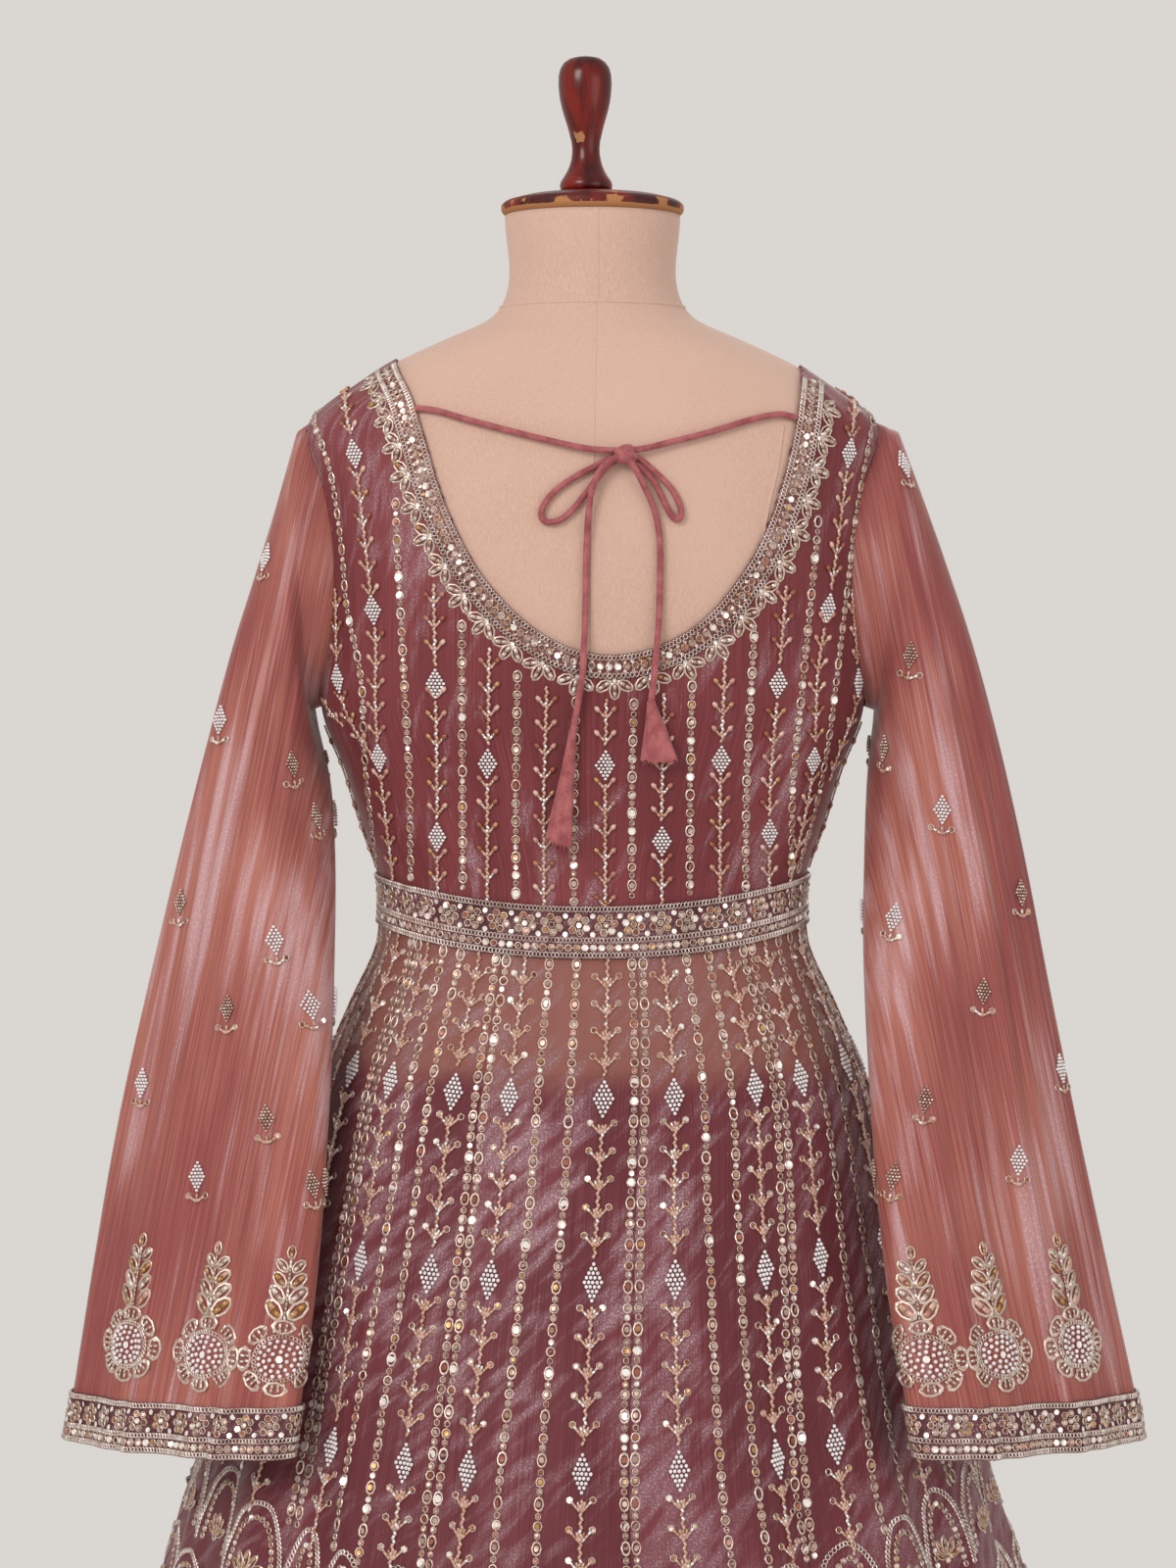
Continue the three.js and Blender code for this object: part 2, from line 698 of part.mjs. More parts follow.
// Turn 0 is the sleeve's outer edge, 90 its back, 180 its inner edge. Row 0 is the armhole.
function sleeveSurface(side, turn, row) {
  if (row <= 0) {
    return armholeSeam(side, turn);
  }
  const lastRow = sleeveRows.length - 1;
  const hang = readSleeve(row - 1);
  const isLeft = side < 0;
  const outer = new THREE.Vector3(side * (isLeft ? hang.outLeft : hang.outRight), hang.outY, hang.outZ);
  const inner = new THREE.Vector3(side * (isLeft ? hang.inLeft : hang.inRight), hang.inY, hang.inZ);
  const spread = outer.clone().sub(inner).multiplyScalar(0.5);
  const middle = outer.clone().add(inner).multiplyScalar(0.5);
  const flat = new THREE.Vector3(spread.x, spread.y, 0).normalize();
  const towardsBack = new THREE.Vector3(side * flat.y, -side * flat.x, 0);
  const upright = 1 - THREE.MathUtils.smoothstep(row, 1, 4);
  towardsBack.lerp(new THREE.Vector3(0, -1, 0), upright).normalize();
  const depth = hang.depth - sleeveFold(turn, (row - 1) / lastRow);
  return middle
    .addScaledVector(spread, Math.cos(radians(turn)))
    .addScaledVector(towardsBack, depth * Math.sin(radians(turn)));
}

function sleeveLifted(side, turn, row, lift) {
  const across = sleeveSurface(side, turn + 2, row).sub(sleeveSurface(side, turn - 2, row));
  const next = Math.min(row + 0.2, sleeveRows.length);
  const last = row <= 1 ? row : row - 0.2;
  const along = sleeveSurface(side, turn, next).sub(sleeveSurface(side, turn, last));
  const normal = along.cross(across).normalize().multiplyScalar(side);
  return sleeveSurface(side, turn, row).addScaledVector(normal, lift);
}

for (const { name, side } of sides) {
  const rows = sleeveRows.length;
  add(`sleeve_${name}`, clothWall({
    across: sleeveColumnCount,
    along: rows,
    closed: true,
    outer: (u, v) => sleeveLifted(side, side * u * 360, (1 - v) * rows, cloth / 2),
    inner: (u, v) => sleeveLifted(side, side * u * 360, (1 - v) * rows, -cloth / 2),
  }), finishes.sleeve);

  const onSleeve = cloth / 2 + seamGap;
  add(`cuff_border_${name}`, clothWall({
    across: sleeveColumnCount,
    along: 1,
    closed: true,
    outer: (u, v) => sleeveLifted(side, side * u * 360, rows - v, onSleeve + trim),
    inner: (u, v) => sleeveLifted(side, side * u * 360, rows - v, onSleeve),
  }), finishes.gold);
}

// ---------------------------------------------------------------- skirt, lining and belt

function panelTurn(index, u, z, radius) {
  const from = seamTurn(index, z);
  const to = seamTurn(index + 1, z);
  const gap = THREE.MathUtils.radToDeg(seamGap / radius);
  return THREE.MathUtils.lerp(from + gap, to - gap, u);
}

const kaliColumns = 9;
const kaliShares = [1, 0.68, 0.42, 0.23, 0.115, 0.055, 0.018, 0];
const liningColumns = 4;
const liningRows = 4;

function kaliPoint(index, u, share, lift) {
  const turnAtWaist = panelTurn(index, u, waistSide, 120);
  const top = waistSeam(turnAtWaist) - seamGap / 2;
  const z = THREE.MathUtils.lerp(top, hem, share);
  const turn = panelTurn(index, u, z, skirtRadius(z));
  return lifted(skirtSurface, turn, z, lift);
}

function skirtRadius(z) {
  return readSkirt(z).half * 0.7;
}

const lastShare = kaliShares.length - 1;
for (let index = 0; index < panelCount; index += 1) {
  const number = String(index + 1).padStart(2, '0');
  add(`kali_${number}`, clothWall({
    across: kaliColumns,
    along: lastShare,
    outer: (u, v) => kaliPoint(index, u, kaliShares[Math.round(v * lastShare)], cloth / 2),
    inner: (u, v) => kaliPoint(index, u, kaliShares[Math.round(v * lastShare)], -cloth / 2),
  }), finishes.body);

  const liningPoint = (u, v, lift) => {
    const z = THREE.MathUtils.lerp(liningHem, liningTop, v);
    return lifted(liningSurface, panelTurn(index, u, z, skirtRadius(z)), z, lift);
  };
  add(`lining_${number}`, clothWall({
    across: liningColumns,
    along: liningRows,
    outer: (u, v) => liningPoint(u, v, cloth / 2),
    inner: (u, v) => liningPoint(u, v, -cloth / 2),
  }), finishes.lining);
}

// The belt lies on whichever stands further out, the bodice or the top of the skirt.
function beltPoint(turn, v, lift) {
  const z = waistSeam(turn) + beltHeight * (v - 0.5);
  const overBodice = lifted(formSurface, turn, z, shellLifts.clothOutside + beltRoom + lift);
  const overSkirt = lifted(skirtSurface, turn, z, cloth / 2 + beltRoom + lift);
  const reach = (point) => Math.hypot(point.x, point.y);
  return reach(overBodice) > reach(overSkirt) ? overBodice : overSkirt;
}

add('belt', clothWall({
  across: 60,
  along: 2,
  closed: true,
  outer: (u, v) => beltPoint(u * 360, v, beltWall),
  inner: (u, v) => beltPoint(u * 360, v, 0),
}), finishes.gold);

// ---------------------------------------------------------------- dori

function knotBall(extra) {
  const ball = new THREE.SphereGeometry(1, 14, 9);
  ball.scale(knotSize.x / 2 + extra, knotSize.y / 2 + extra, knotSize.z / 2 + extra);
  ball.translate(knotCentre.x, knotCentre.y, knotCentre.z);
  return ball;
}

function doriTube(route, stepDiameters) {
  const path = new THREE.CatmullRomCurve3(route.map(([x, y, z]) => new THREE.Vector3(x, y, z)));
  const corners = Array.from({ length: doriSides }, (unused, corner) => {
    const angle = (2 * Math.PI * corner) / doriSides;
    return new THREE.Vector2(Math.cos(angle), Math.sin(angle)).multiplyScalar(doriDiameter / 2);
  });
  const section = new THREE.Shape(corners);
  const steps = Math.ceil(path.getLength() / (stepDiameters * doriDiameter));
  return new THREE.ExtrudeGeometry(section, { steps, bevelEnabled: false, extrudePath: path });
}

const knotRoom = toSolid(knotBall(seamGap));
for (const { name } of sides) {
  for (const [stretch, route] of Object.entries(doriRoutes[name])) {
    const stepDiameters = stretch === 'loop' ? 2.2 : 3;
    const tube = toSolid(doriTube(route, stepDiameters)).subtract(knotRoom);
    add(`dori_${stretch}_${name}`, toGeometry(tube), finishes.dori);
  }
}
add('dori_knot', knotBall(0), finishes.dori);

// A tassel is a short tube of gathered cloth: a neck round the tie's end, and an open skirt.
for (const { name, top, bottom, halfWidth, halfDepth } of tassels) {
  const neck = doriDiameter / 2 + 1;
  const start = new THREE.Vector3(...top);
  const fall = new THREE.Vector3(...bottom).sub(start);
  const widthwards = new THREE.Vector3(-fall.z, 0, fall.x).normalize();
  const depthwards = fall.clone().cross(widthwards).normalize();
  const point = (u, v, lift) => {
    const angle = -2 * Math.PI * u;
    const share = (1 - v) ** 1.2;
    const pleat = 1 + 0.12 * share * Math.cos(tasselPleats * angle);
    const width = THREE.MathUtils.lerp(neck, halfWidth, share) * pleat + lift;
    const depth = THREE.MathUtils.lerp(neck, halfDepth, share) * pleat + lift;
    return start.clone()
      .addScaledVector(fall, 1 - v)
      .addScaledVector(widthwards, width * Math.cos(angle))
      .addScaledVector(depthwards, depth * Math.sin(angle));
  };
  add(`tassel_${name}`, clothWall({
    across: 14,
    along: 3,
    closed: true,
    outer: (u, v) => point(u, v, cloth),
    inner: (u, v) => point(u, v, 0),
  }), finishes.dori);
}

export default dress;
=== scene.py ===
import json
import math

import bmesh
import bpy
import numpy as np
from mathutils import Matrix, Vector

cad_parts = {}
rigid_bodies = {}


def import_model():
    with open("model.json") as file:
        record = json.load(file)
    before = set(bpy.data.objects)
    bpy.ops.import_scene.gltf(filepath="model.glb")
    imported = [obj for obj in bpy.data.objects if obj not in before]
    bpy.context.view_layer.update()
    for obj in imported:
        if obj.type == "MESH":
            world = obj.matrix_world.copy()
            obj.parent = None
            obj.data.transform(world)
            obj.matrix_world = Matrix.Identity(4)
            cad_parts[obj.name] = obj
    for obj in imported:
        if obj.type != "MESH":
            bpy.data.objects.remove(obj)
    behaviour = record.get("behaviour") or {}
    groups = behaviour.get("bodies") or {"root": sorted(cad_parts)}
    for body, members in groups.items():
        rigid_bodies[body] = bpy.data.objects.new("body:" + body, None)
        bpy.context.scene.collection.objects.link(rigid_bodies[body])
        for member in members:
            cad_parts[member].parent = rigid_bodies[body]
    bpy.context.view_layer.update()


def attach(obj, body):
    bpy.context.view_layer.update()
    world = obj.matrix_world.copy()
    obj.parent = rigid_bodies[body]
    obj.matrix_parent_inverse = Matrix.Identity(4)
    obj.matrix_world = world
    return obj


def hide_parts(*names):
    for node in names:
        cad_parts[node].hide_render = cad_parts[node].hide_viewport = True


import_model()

# --- Studio -------------------------------------------------------------------------------
# The camera stands behind the dress at chest height and looks down a little. A plain pale
# floor and three soft lamps are the studio's and no part of the dress.
camera = bpy.data.objects.new("camera", bpy.data.cameras.new("camera"))
camera.location = (-0.003, -2.3, 1.27)
camera.rotation_euler = (math.radians(90 - 3.122), 0, 0)
camera.data.sensor_fit = "AUTO"
camera.data.sensor_width = 36
camera.data.lens = 79.31
camera.data.clip_end = 60
bpy.context.scene.collection.objects.link(camera)
bpy.context.scene.camera = camera
bpy.context.scene.view_settings.view_transform = "Standard"

studio_air = bpy.data.worlds.new("studio_air")
studio_air.use_nodes = True
studio_air.node_tree.nodes["Background"].inputs["Color"].default_value = (0.90, 0.86, 0.82, 1)
studio_air.node_tree.nodes["Background"].inputs["Strength"].default_value = 0.78
bpy.context.scene.world = studio_air


def table(columns, *rows):
    """A table's rows, each with its values under the columns' names."""
    return [dict(zip(columns, row)) for row in rows]


lamp_rows = table(
    ("name", "place", "aim", "size", "watts"),
    ("key_lamp", (-1.9, -3.0, 2.9), (0, 0, 1.05), 1.5, 68),
    ("fill_lamp", (2.4, -2.6, 1.5), (0, 0, 0.95), 2.2, 20),
    ("front_lamp", (0.6, 3.2, 2.4), (0, 0, 1.0), 2.4, 26),
)
for row in lamp_rows:
    lamp = bpy.data.objects.new(row["name"], bpy.data.lights.new(row["name"], "AREA"))
    lamp.data.size = row["size"]
    lamp.data.energy = row["watts"]
    lamp.data.color = (1.0, 0.96, 0.91)
    lamp.location = row["place"]
    towards = Vector(row["aim"]) - lamp.location
    lamp.rotation_euler = towards.to_track_quat("-Z", "Y").to_euler()
    bpy.context.scene.collection.objects.link(lamp)


def linear(hex_colour):
    """A cloth swatch such as #7d4048 as the linear colour that a shader takes."""
    parts = [int(hex_colour[i : i + 2], 16) / 255 for i in (1, 3, 5)]
    return tuple(p / 12.92 if p <= 0.04045 else ((p + 0.055) / 1.055) ** 2.4 for p in parts) + (1.0,)


class Strand:
    """One value or colour on its way through a finish, which adds up like a number."""

    def __init__(self, finish, socket):
        self.finish = finish
        self.socket = socket

    def _maths(self, operation, first, second):
        return self.finish.node("ShaderNodeMath", {"operation": operation}, {0: first, 1: second})

    def __add__(self, other):
        return self._maths("ADD", self, other)

    __radd__ = __add__

    def __sub__(self, other):
        return self._maths("SUBTRACT", self, other)

    def __rsub__(self, other):
        return self._maths("SUBTRACT", other, self)

    def __mul__(self, other):
        return self._maths("MULTIPLY", self, other)

    __rmul__ = __mul__


class Finish:
    """A material whose varying sockets are fed by strands and whose constants are set directly."""

    def __init__(self, name, constants):
        self.material = bpy.data.materials.new(name)
        self.material.use_nodes = True
        self.tree = self.material.node_tree
        self.shader = self.tree.nodes["Principled BSDF"]
        self.put(constants)

    def node(self, kind, settings=None, inputs=None, output=0):
        made = self.tree.nodes.new(kind)
        for key, value in (settings or {}).items():
            if key == "stops":
                while len(made.color_ramp.elements) < len(value):
                    made.color_ramp.elements.new(0.5)
                for element, (place, shade) in zip(made.color_ramp.elements, value):
                    element.position = place
                    element.color = shade
            else:
                setattr(made, key, value)
        for key, value in (inputs or {}).items():
            self.feed(made.inputs[key], value)
        return Strand(self, made.outputs[output])

    def feed(self, socket, value):
        if isinstance(value, Strand):
            self.tree.links.new(value.socket, socket)
        else:
            socket.default_value = value

    def put(self, values):
        for name, value in values.items():
            self.feed(self.shader.inputs[name], value)

    def blend(self, share, first, second):
        return self.node("ShaderNodeMix", {"data_type": "RGBA"}, {0: share, 6: first, 7: second}, output=2)

    def noise(self, place, scale=1.0, detail=2.0, flat=False, **more):
        """Cloudy values between 0 and 1; flat reads only the place's first two axes."""
        settings = {"noise_dimensions": "2D"} if flat else {}
        values = {"Vector": place, "Scale": scale, "Detail": detail, **more}
        return self.node("ShaderNodeTexNoise", settings, values)

    def band(self, value, low, high):
        """0 below low, 1 above high."""
        smoothly = {"interpolation_type": "SMOOTHSTEP"}
        return self.node("ShaderNodeMapRange", smoothly, {0: value, 1: low, 2: high})

    def bump(self, height, strength, distance):
        relief = {"Height": height, "Strength": strength, "Distance": distance}
        self.put({"Normal": self.node("ShaderNodeBump", {}, relief)})


floor_finish = Finish("studio_floor", {"Roughness": 0.95})
floor_place = floor_finish.node("ShaderNodeTexCoord", output=3)
floor_grain = floor_finish.noise(floor_place, 2.0)
floor_finish.put({"Base Color": floor_finish.blend(floor_grain, linear("#d9d4cf"), linear("#d5d0ca"))})
floor_mesh = bmesh.new()
bmesh.ops.create_circle(floor_mesh, cap_ends=True, segments=96, radius=2.1)
floor = bpy.data.objects.new("studio_floor", bpy.data.meshes.new("studio_floor"))
floor_mesh.to_mesh(floor.data)
floor_mesh.free()
floor.data.materials.append(floor_finish.material)
bpy.context.scene.collection.objects.link(floor)

# --- Back ties ------------------------------------------------------------------------------
# Two narrow tubes of dusty rose cloth, turned right side out after sewing. Each starts under
# the neck border, is tied with the other in a bow knot across the open back and hangs down to
# a tassel. Places are millimetres.
tie_route_left = [
    (-112.8, -84.2, 1389.5), (-108.1, -86, 1389.1), (-98.5, -89.6, 1387.7),
    (-82.7, -94.6, 1382.4), (-56.5, -99.6, 1375.4), (-39, -101.8, 1370.9),
    (-21, -103.8, 1366.5), (-3.6, -105.5, 1362.7), (8.2, -106.4, 1361.8),
    (16.2, -106.7, 1361.7), (19, -105.4, 1360.6), (16.2, -104, 1358.8),
    (9.4, -104, 1356.6), (3.2, -104.1, 1352.6), (-11.1, -104.7, 1345.4),
    (-26, -104.7, 1334.9), (-32.8, -104.8, 1324.7), (-32.5, -105, 1318.2),
    (-27.5, -105.3, 1315.7), (-18.8, -105.4, 1318.2), (-10.8, -105.3, 1326.2),
    (-4.5, -105.1, 1334.3), (0.7, -105, 1341.7), (6.9, -104.9, 1349.1),
    (13.8, -105.1, 1355.3), (17.6, -107.5, 1356), (15.6, -109.9, 1357.6),
    (8.8, -110.3, 1353.9), (2.6, -110.5, 1346.5), (-1.1, -109.9, 1335.4),
    (-2.7, -108.2, 1323.1), (-3.6, -106.5, 1307.6), (-4.2, -105.5, 1291.5),
    (-4.6, -104.6, 1262.4), (-5.2, -105, 1243.7), (-5.8, -106.6, 1232.6),
    (-6.4, -105.9, 1218.9), (-9.2, -104, 1203.3), (-11.7, -102.7, 1187.6),
    (-13.6, -102.2, 1178.2),
]
tie_route_right = [
    (130.2, -80.4, 1383.8), (125.4, -82.2, 1384.9), (119.7, -83.9, 1386.1),
    (101.9, -90.3, 1382.6), (75.4, -97.3, 1373.6), (49.2, -102.2, 1367.2),
    (35.5, -104.6, 1363.4), (26.8, -106.2, 1362.1), (23.7, -106.5, 1361.8),
    (21.6, -105.1, 1360.3), (24.3, -103.8, 1358.8), (28.7, -103.6, 1357.2),
    (33.6, -103.4, 1353.5), (41.1, -103.5, 1346.7), (49.2, -103.3, 1339),
    (54.8, -103.1, 1329.4), (56.7, -103.2, 1321.6), (54.5, -103.5, 1317.6),
    (50.7, -103.8, 1319.2), (46.1, -103.9, 1326.9), (42.3, -103.9, 1335.6),
    (38, -103.9, 1343), (31.8, -104, 1349.8), (25.6, -105.2, 1353.8),
    (22.2, -107.3, 1354.3), (22.4, -109.7, 1356.4), (25.5, -109.7, 1351.8),
    (28.9, -109.2, 1346.5), (33.6, -107.2, 1336.7), (39.2, -105.4, 1324.7),
    (42, -105, 1312), (43, -104.5, 1296.5), (42.7, -104.1, 1279.8),
    (42.4, -103.7, 1262.4), (41.5, -104.5, 1246.8), (40.5, -105.8, 1235),
    (39.3, -105, 1218.9), (37.5, -103.7, 1206.4), (36.8, -103.2, 1198.9),
]
tie_diameter = 4.2

tie_finish = Finish("rose_tie_cloth", {"Sheen Weight": 0.25, "Sheen Roughness": 0.5, "IOR": 1.4})
tie_place = tie_finish.node("ShaderNodeTexCoord", output=3)
tie_weave = tie_finish.noise(tie_place, 900.0)
tie_crush = tie_finish.noise(tie_place, 120.0, 3.0)
tie_finish.put({
    "Base Color": tie_finish.blend(
        tie_finish.band(tie_crush * 0.7 + tie_weave * 0.3, 0.35, 0.65), linear("#8b4046"), linear("#ac6063")
    ),
    "Roughness": tie_weave * 0.25 + 0.5,
})
tie_finish.bump(tie_crush * 0.8 + tie_weave * 0.2, 0.5, 0.0012)


def dress_piece(name, mesh, finish, stands_for=()):
    """A finished piece of the object, in place of its CAD solids."""
    made = bpy.data.objects.new(name, mesh)
    bpy.context.scene.collection.objects.link(made)
    made.data.materials.append(finish.material)
    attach(made, "root")
    if stands_for:
        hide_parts(*stands_for)
    return made


def tie_curve(name, route):
    curve = bpy.data.curves.new(name, "CURVE")
    curve.dimensions = "3D"
    curve.bevel_depth = tie_diameter / 2000
    curve.bevel_resolution = 4
    curve.resolution_u = 8
    curve.use_fill_caps = True
    line = curve.splines.new("NURBS")
    line.points.add(len(route) - 1)
    for point, (x, y, z) in zip(line.points, route):
        point.co = (x / 1000, y / 1000, z / 1000, 1)
    line.order_u = 3
    line.use_endpoint_u = True
    return curve


# The knot is the two ties wound round each other once: a plump band of cloth with a crossing
# fold, drawn tight.
knot_middle = Vector((20.5, -107.4, 1358.6))
knot_mesh = bmesh.new()
bmesh.ops.create_uvsphere(knot_mesh, u_segments=48, v_segments=30, radius=1)
for vert in knot_mesh.verts:
    across, out, up = vert.co
    wrap = 1 + 0.07 * math.sin(7 * up + 2.5 * across) + 0.05 * math.cos(5 * across - 3 * up)
    pinch = 1 - 0.16 * math.exp(-((across + 0.45 * up) / 0.16) ** 2)
    plump = Vector((7.3 * across * wrap, 5.9 * out * pinch, 6.9 * up * wrap))
    vert.co = (knot_middle + plump) / 1000
knot_data = bpy.data.meshes.new("tie_knot")
knot_mesh.to_mesh(knot_data)
knot_mesh.free()
tie_knot = dress_piece("tie_knot", knot_data, tie_finish, ["dori_knot"])

# Each tassel is a strip of the same cloth gathered round the tie's end and left open below,
# with a frayed raw edge.
tassel_rows = table(
    ("side", "top", "bottom", "half", "deep", "spread"),
    ("left", (-12.7, -103, 1184), (-21.4, -98.8, 1113), 8.4, 4.6, 1.15),
    ("right", (37, -104, 1203), (42.6, -101.5, 1166), 11.2, 5.2, 1.0),
)
tassel_pieces = {}
for row in tassel_rows:
    top, bottom = Vector(row["top"]), Vector(row["bottom"])
    fall = bottom - top
    wide = Vector((-fall.z, 0, fall.x)).normalized()
    deep = fall.cross(wide).normalized()
    cloth_mesh = bmesh.new()
    bmesh.ops.create_grid(cloth_mesh, x_segments=71, y_segments=40, size=1)
    for vert in cloth_mesh.verts:
        round_it = (vert.co.x + 1) / 2 * 2 * math.pi
        down = (vert.co.y + 1) / 2
        flare = down ** row["spread"]
        pleat = 1 + 0.13 * flare * math.cos(5 * round_it + 3 * down) + 0.05 * flare * math.cos(11 * round_it)
        ragged = 0.9 * down ** 12 * math.sin(23 * round_it) + 2.2 * down ** 6 * math.sin(round_it + 0.6)
        width = (2.5 + (row["half"] - 2.5) * flare) * pleat
        depth = (2.5 + (row["deep"] - 2.5) * flare) * pleat
        spot = top + fall * down + wide * width * math.cos(round_it) + deep * depth * math.sin(round_it)
        vert.co = (spot + fall.normalized() * ragged) / 1000
    bmesh.ops.remove_doubles(cloth_mesh, verts=cloth_mesh.verts, dist=1e-5)
    bmesh.ops.recalc_face_normals(cloth_mesh, faces=cloth_mesh.faces)
    bmesh.ops.solidify(cloth_mesh, geom=cloth_mesh.faces, thickness=0.0006)
    # frayed threads along the raw edge
    for number in range(46):
        angle = number * 2 * math.pi / 46
        start = bottom + wide * row["half"] * math.cos(angle) + deep * row["deep"] * math.sin(angle)
        start = start + fall.normalized() * 2.0 * math.sin(angle + 0.6)
        lean = wide * math.sin(number * 2.4) * 1.3 + fall.normalized() * (2.6 + 1.6 * math.sin(number * 5.1))
        thread = bmesh.ops.create_cone(
            cloth_mesh, cap_ends=True, segments=4, radius1=0.16, radius2=0.09, depth=1.0
        )["verts"]
        turn = lean.to_track_quat("Z", "Y").to_matrix()
        for vert in thread:
            vert.co.z = (vert.co.z + 0.5) * lean.length
            vert.co = (start + turn @ vert.co) / 1000
    cloth_data = bpy.data.meshes.new("tassel_cloth_" + row["side"])
    for face in cloth_mesh.faces:
        face.smooth = True
    cloth_mesh.to_mesh(cloth_data)
    cloth_mesh.free()
    tassel_pieces[row["side"]] = dress_piece(
        "tassel_cloth_" + row["side"], cloth_data, tie_finish, ["tassel_" + row["side"]]
    )

tie_facts = [
    {"side": "left", "route": tie_route_left, "length": 0.4635},
    {"side": "right", "route": tie_route_right, "length": 0.389},
]
for row in tie_facts:
    side = row["side"]
    tie = dress_piece(
        "tie_" + side,
        tie_curve("tie_" + side, row["route"]),
        tie_finish,
        ["dori_run_" + side, "dori_loop_" + side, "dori_tail_" + side],
    )
    tuple(value / 1000 for value in row["route"][0])
    [tassel_pieces[side]] + ([tie_knot] if side == "left" else [])

# --- Dress form -----------------------------------------------------------------------------
# A limbless form covered in peach-beige plain weave, padded smooth, with a seam down the centre
# back, a curved side-back seam, and the neck sewn on round its foot. Turns are degrees from the
# centre back over the right side; tables are millimetres.
form_rows = table(
    ("z", "half", "back", "front", "ridge", "square"),
    (820, 168, -112, 100, 0, 2.2),
    (870, 171, -117, 102, 0, 2.2),
    (920, 167, -114, 101, 0, 2.2),
    (974, 156, -106, 98, 0, 2.2),
    (1020, 143, -95, 94, 0, 2.2),
    (1040, 139.5, -90.5, 92.5, 0, 2.2),
    (1055, 138, -88.5, 92, 0, 2.2),
    (1070, 138, -88, 92.5, 0, 2.2),
    (1088, 141, -88, 94, 0, 2.2),
    (1120, 152, -90, 99, 0, 2.3),
    (1156, 163, -93, 107, 0, 2.4),
    (1193, 177, -96, 116, -2, 2.5),
    (1230, 178, -99, 120, -3, 2.5),
    (1270, 177, -102, 114, -4, 2.5),
    (1310, 178, -103, 105, -5, 2.5),
    (1345, 182, -102, 93, -7, 2.4),
    (1370, 187, -99, 83, -9, 2.3),
    (1384, 184, -97, 76, -10, 2.3),
    (1394, 173, -94, 70, -10, 2.3),
    (1408, 153, -90, 62, -11, 2.2),
    (1422, 131, -85, 55, -12, 2.2),
    (1438, 97, -79, 50, -12, 2.1),
    (1450, 70, -73, 47, -12, 2),
    (1462, 59, -70, 46, -12, 2),
    (1519, 57.5, -69, 45, -12, 2),
)


def table_reader(rows, key, columns):
    """Reads a table between its rows by the same cubic curve as the solids were drawn with."""
    ordered = sorted(rows, key=lambda row: row[key])
    places = np.array([row[key] for row in ordered], float)
    values = np.array([[row[column] for column in columns] for row in ordered], float)
    last = len(places) - 1

    def read(place):
        place = np.clip(np.asarray(place, float), places[0], places[-1])
        high = np.clip(np.searchsorted(places, place, side="right"), 1, last)
        low = high - 1
        before = np.where(low > 0, low - 1, high)
        after = np.where(high < last, high + 1, low)
        half = (places[high] - places[low]) / 2
        lead = half / (places[low] - places[before])
        trail = half / (places[after] - places[high])
        p = (place - places[low]) / (places[high] - places[low])
        weights = (
            (before, -lead * p**3 + 2 * lead * p**2 - lead * p),
            (low, (1 + lead) * p**3 + (-1.5 - 2 * lead) * p**2 + (-0.5 + lead) * p + 1),
            (high, (-1 - trail) * p**3 + (1.5 + trail) * p**2 + 0.5 * p),
            (after, trail * p**3 - trail * p**2),
        )
        found = sum(weight[..., None] * values[row] for row, weight in weights)
        return {column: found[..., index] for index, column in enumerate(columns)}

    return read


read_form = table_reader(form_rows, "z", ["half", "back", "front", "ridge", "square"])


def ring_point(ring, turn, z):
    power = 2 / ring["square"]
    sine, cosine = np.sin(np.radians(turn)), np.cos(np.radians(turn))
    side = np.sign(sine) * np.abs(sine) ** power
    depth = np.sign(cosine) * np.abs(cosine) ** power
    reach = np.where(depth > 0, ring["back"] - ring["ridge"], ring["ridge"] - ring["front"])
    return np.stack([ring["half"] * side, ring["ridge"] + reach * depth, z + 0 * turn], axis=-1)


def form_surface(turn, z):
    return ring_point(read_form(z), turn, z)


def form_turn(x, z, front=False):
    """The turn at which the form's back, or its front, is at x."""
    ring = read_form(z)
    share = np.clip(np.abs(x) / ring["half"], 0, 1) ** (ring["square"] / 2)
    turn = np.degrees(np.arcsin(share)) * np.sign(x)
    return 180 - turn if front else turn


def lifted(surface, turn, height, lift):
    """A surface's points moved out along its own normals."""
    across = surface(turn + 0.6, height) - surface(turn - 0.6, height)
    along = surface(turn, height + 1.5) - surface(turn, height - 1.5)
    normal = np.cross(across, along)
    normal /= np.linalg.norm(normal, axis=-1, keepdims=True)
    return surface(turn, height) + normal * np.asarray(lift)[..., None]


def cloth_grid(name, columns, rows, place, closed=False, cut=(1, 1)):
    """A sheet of cloth: a grid whose points go to place(u, v), with the cut's own metres as UV.

    cut is the sheet's flat width and length, or gives the places on the cut for u and v. A
    closed sheet is joined down its first column.
    """
    sheet = bmesh.new()
    bmesh.ops.create_grid(sheet, x_segments=columns, y_segments=rows, size=1)
    sheet.verts.ensure_lookup_table()
    flat = np.array([vert.co[:2] for vert in sheet.verts]) / 2 + 0.5
    spots = place(flat[:, 0], flat[:, 1]) / 1000
    layer = sheet.loops.layers.uv.new("Cut")
    if callable(cut):
        laid = np.stack(cut(flat[:, 0], flat[:, 1]), axis=1)
    else:
        laid = flat * cut
    for face in sheet.faces:
        face.smooth = True
        for loop in face.loops:
            loop[layer].uv = laid[loop.vert.index]
    for vert, spot in zip(sheet.verts, spots):
        vert.co = spot
    if closed:
        bmesh.ops.remove_doubles(sheet, verts=sheet.verts, dist=2e-5)
    bmesh.ops.recalc_face_normals(sheet, faces=sheet.faces)
    mesh = bpy.data.meshes.new(name)
    sheet.to_mesh(mesh)
    sheet.free()
    return mesh


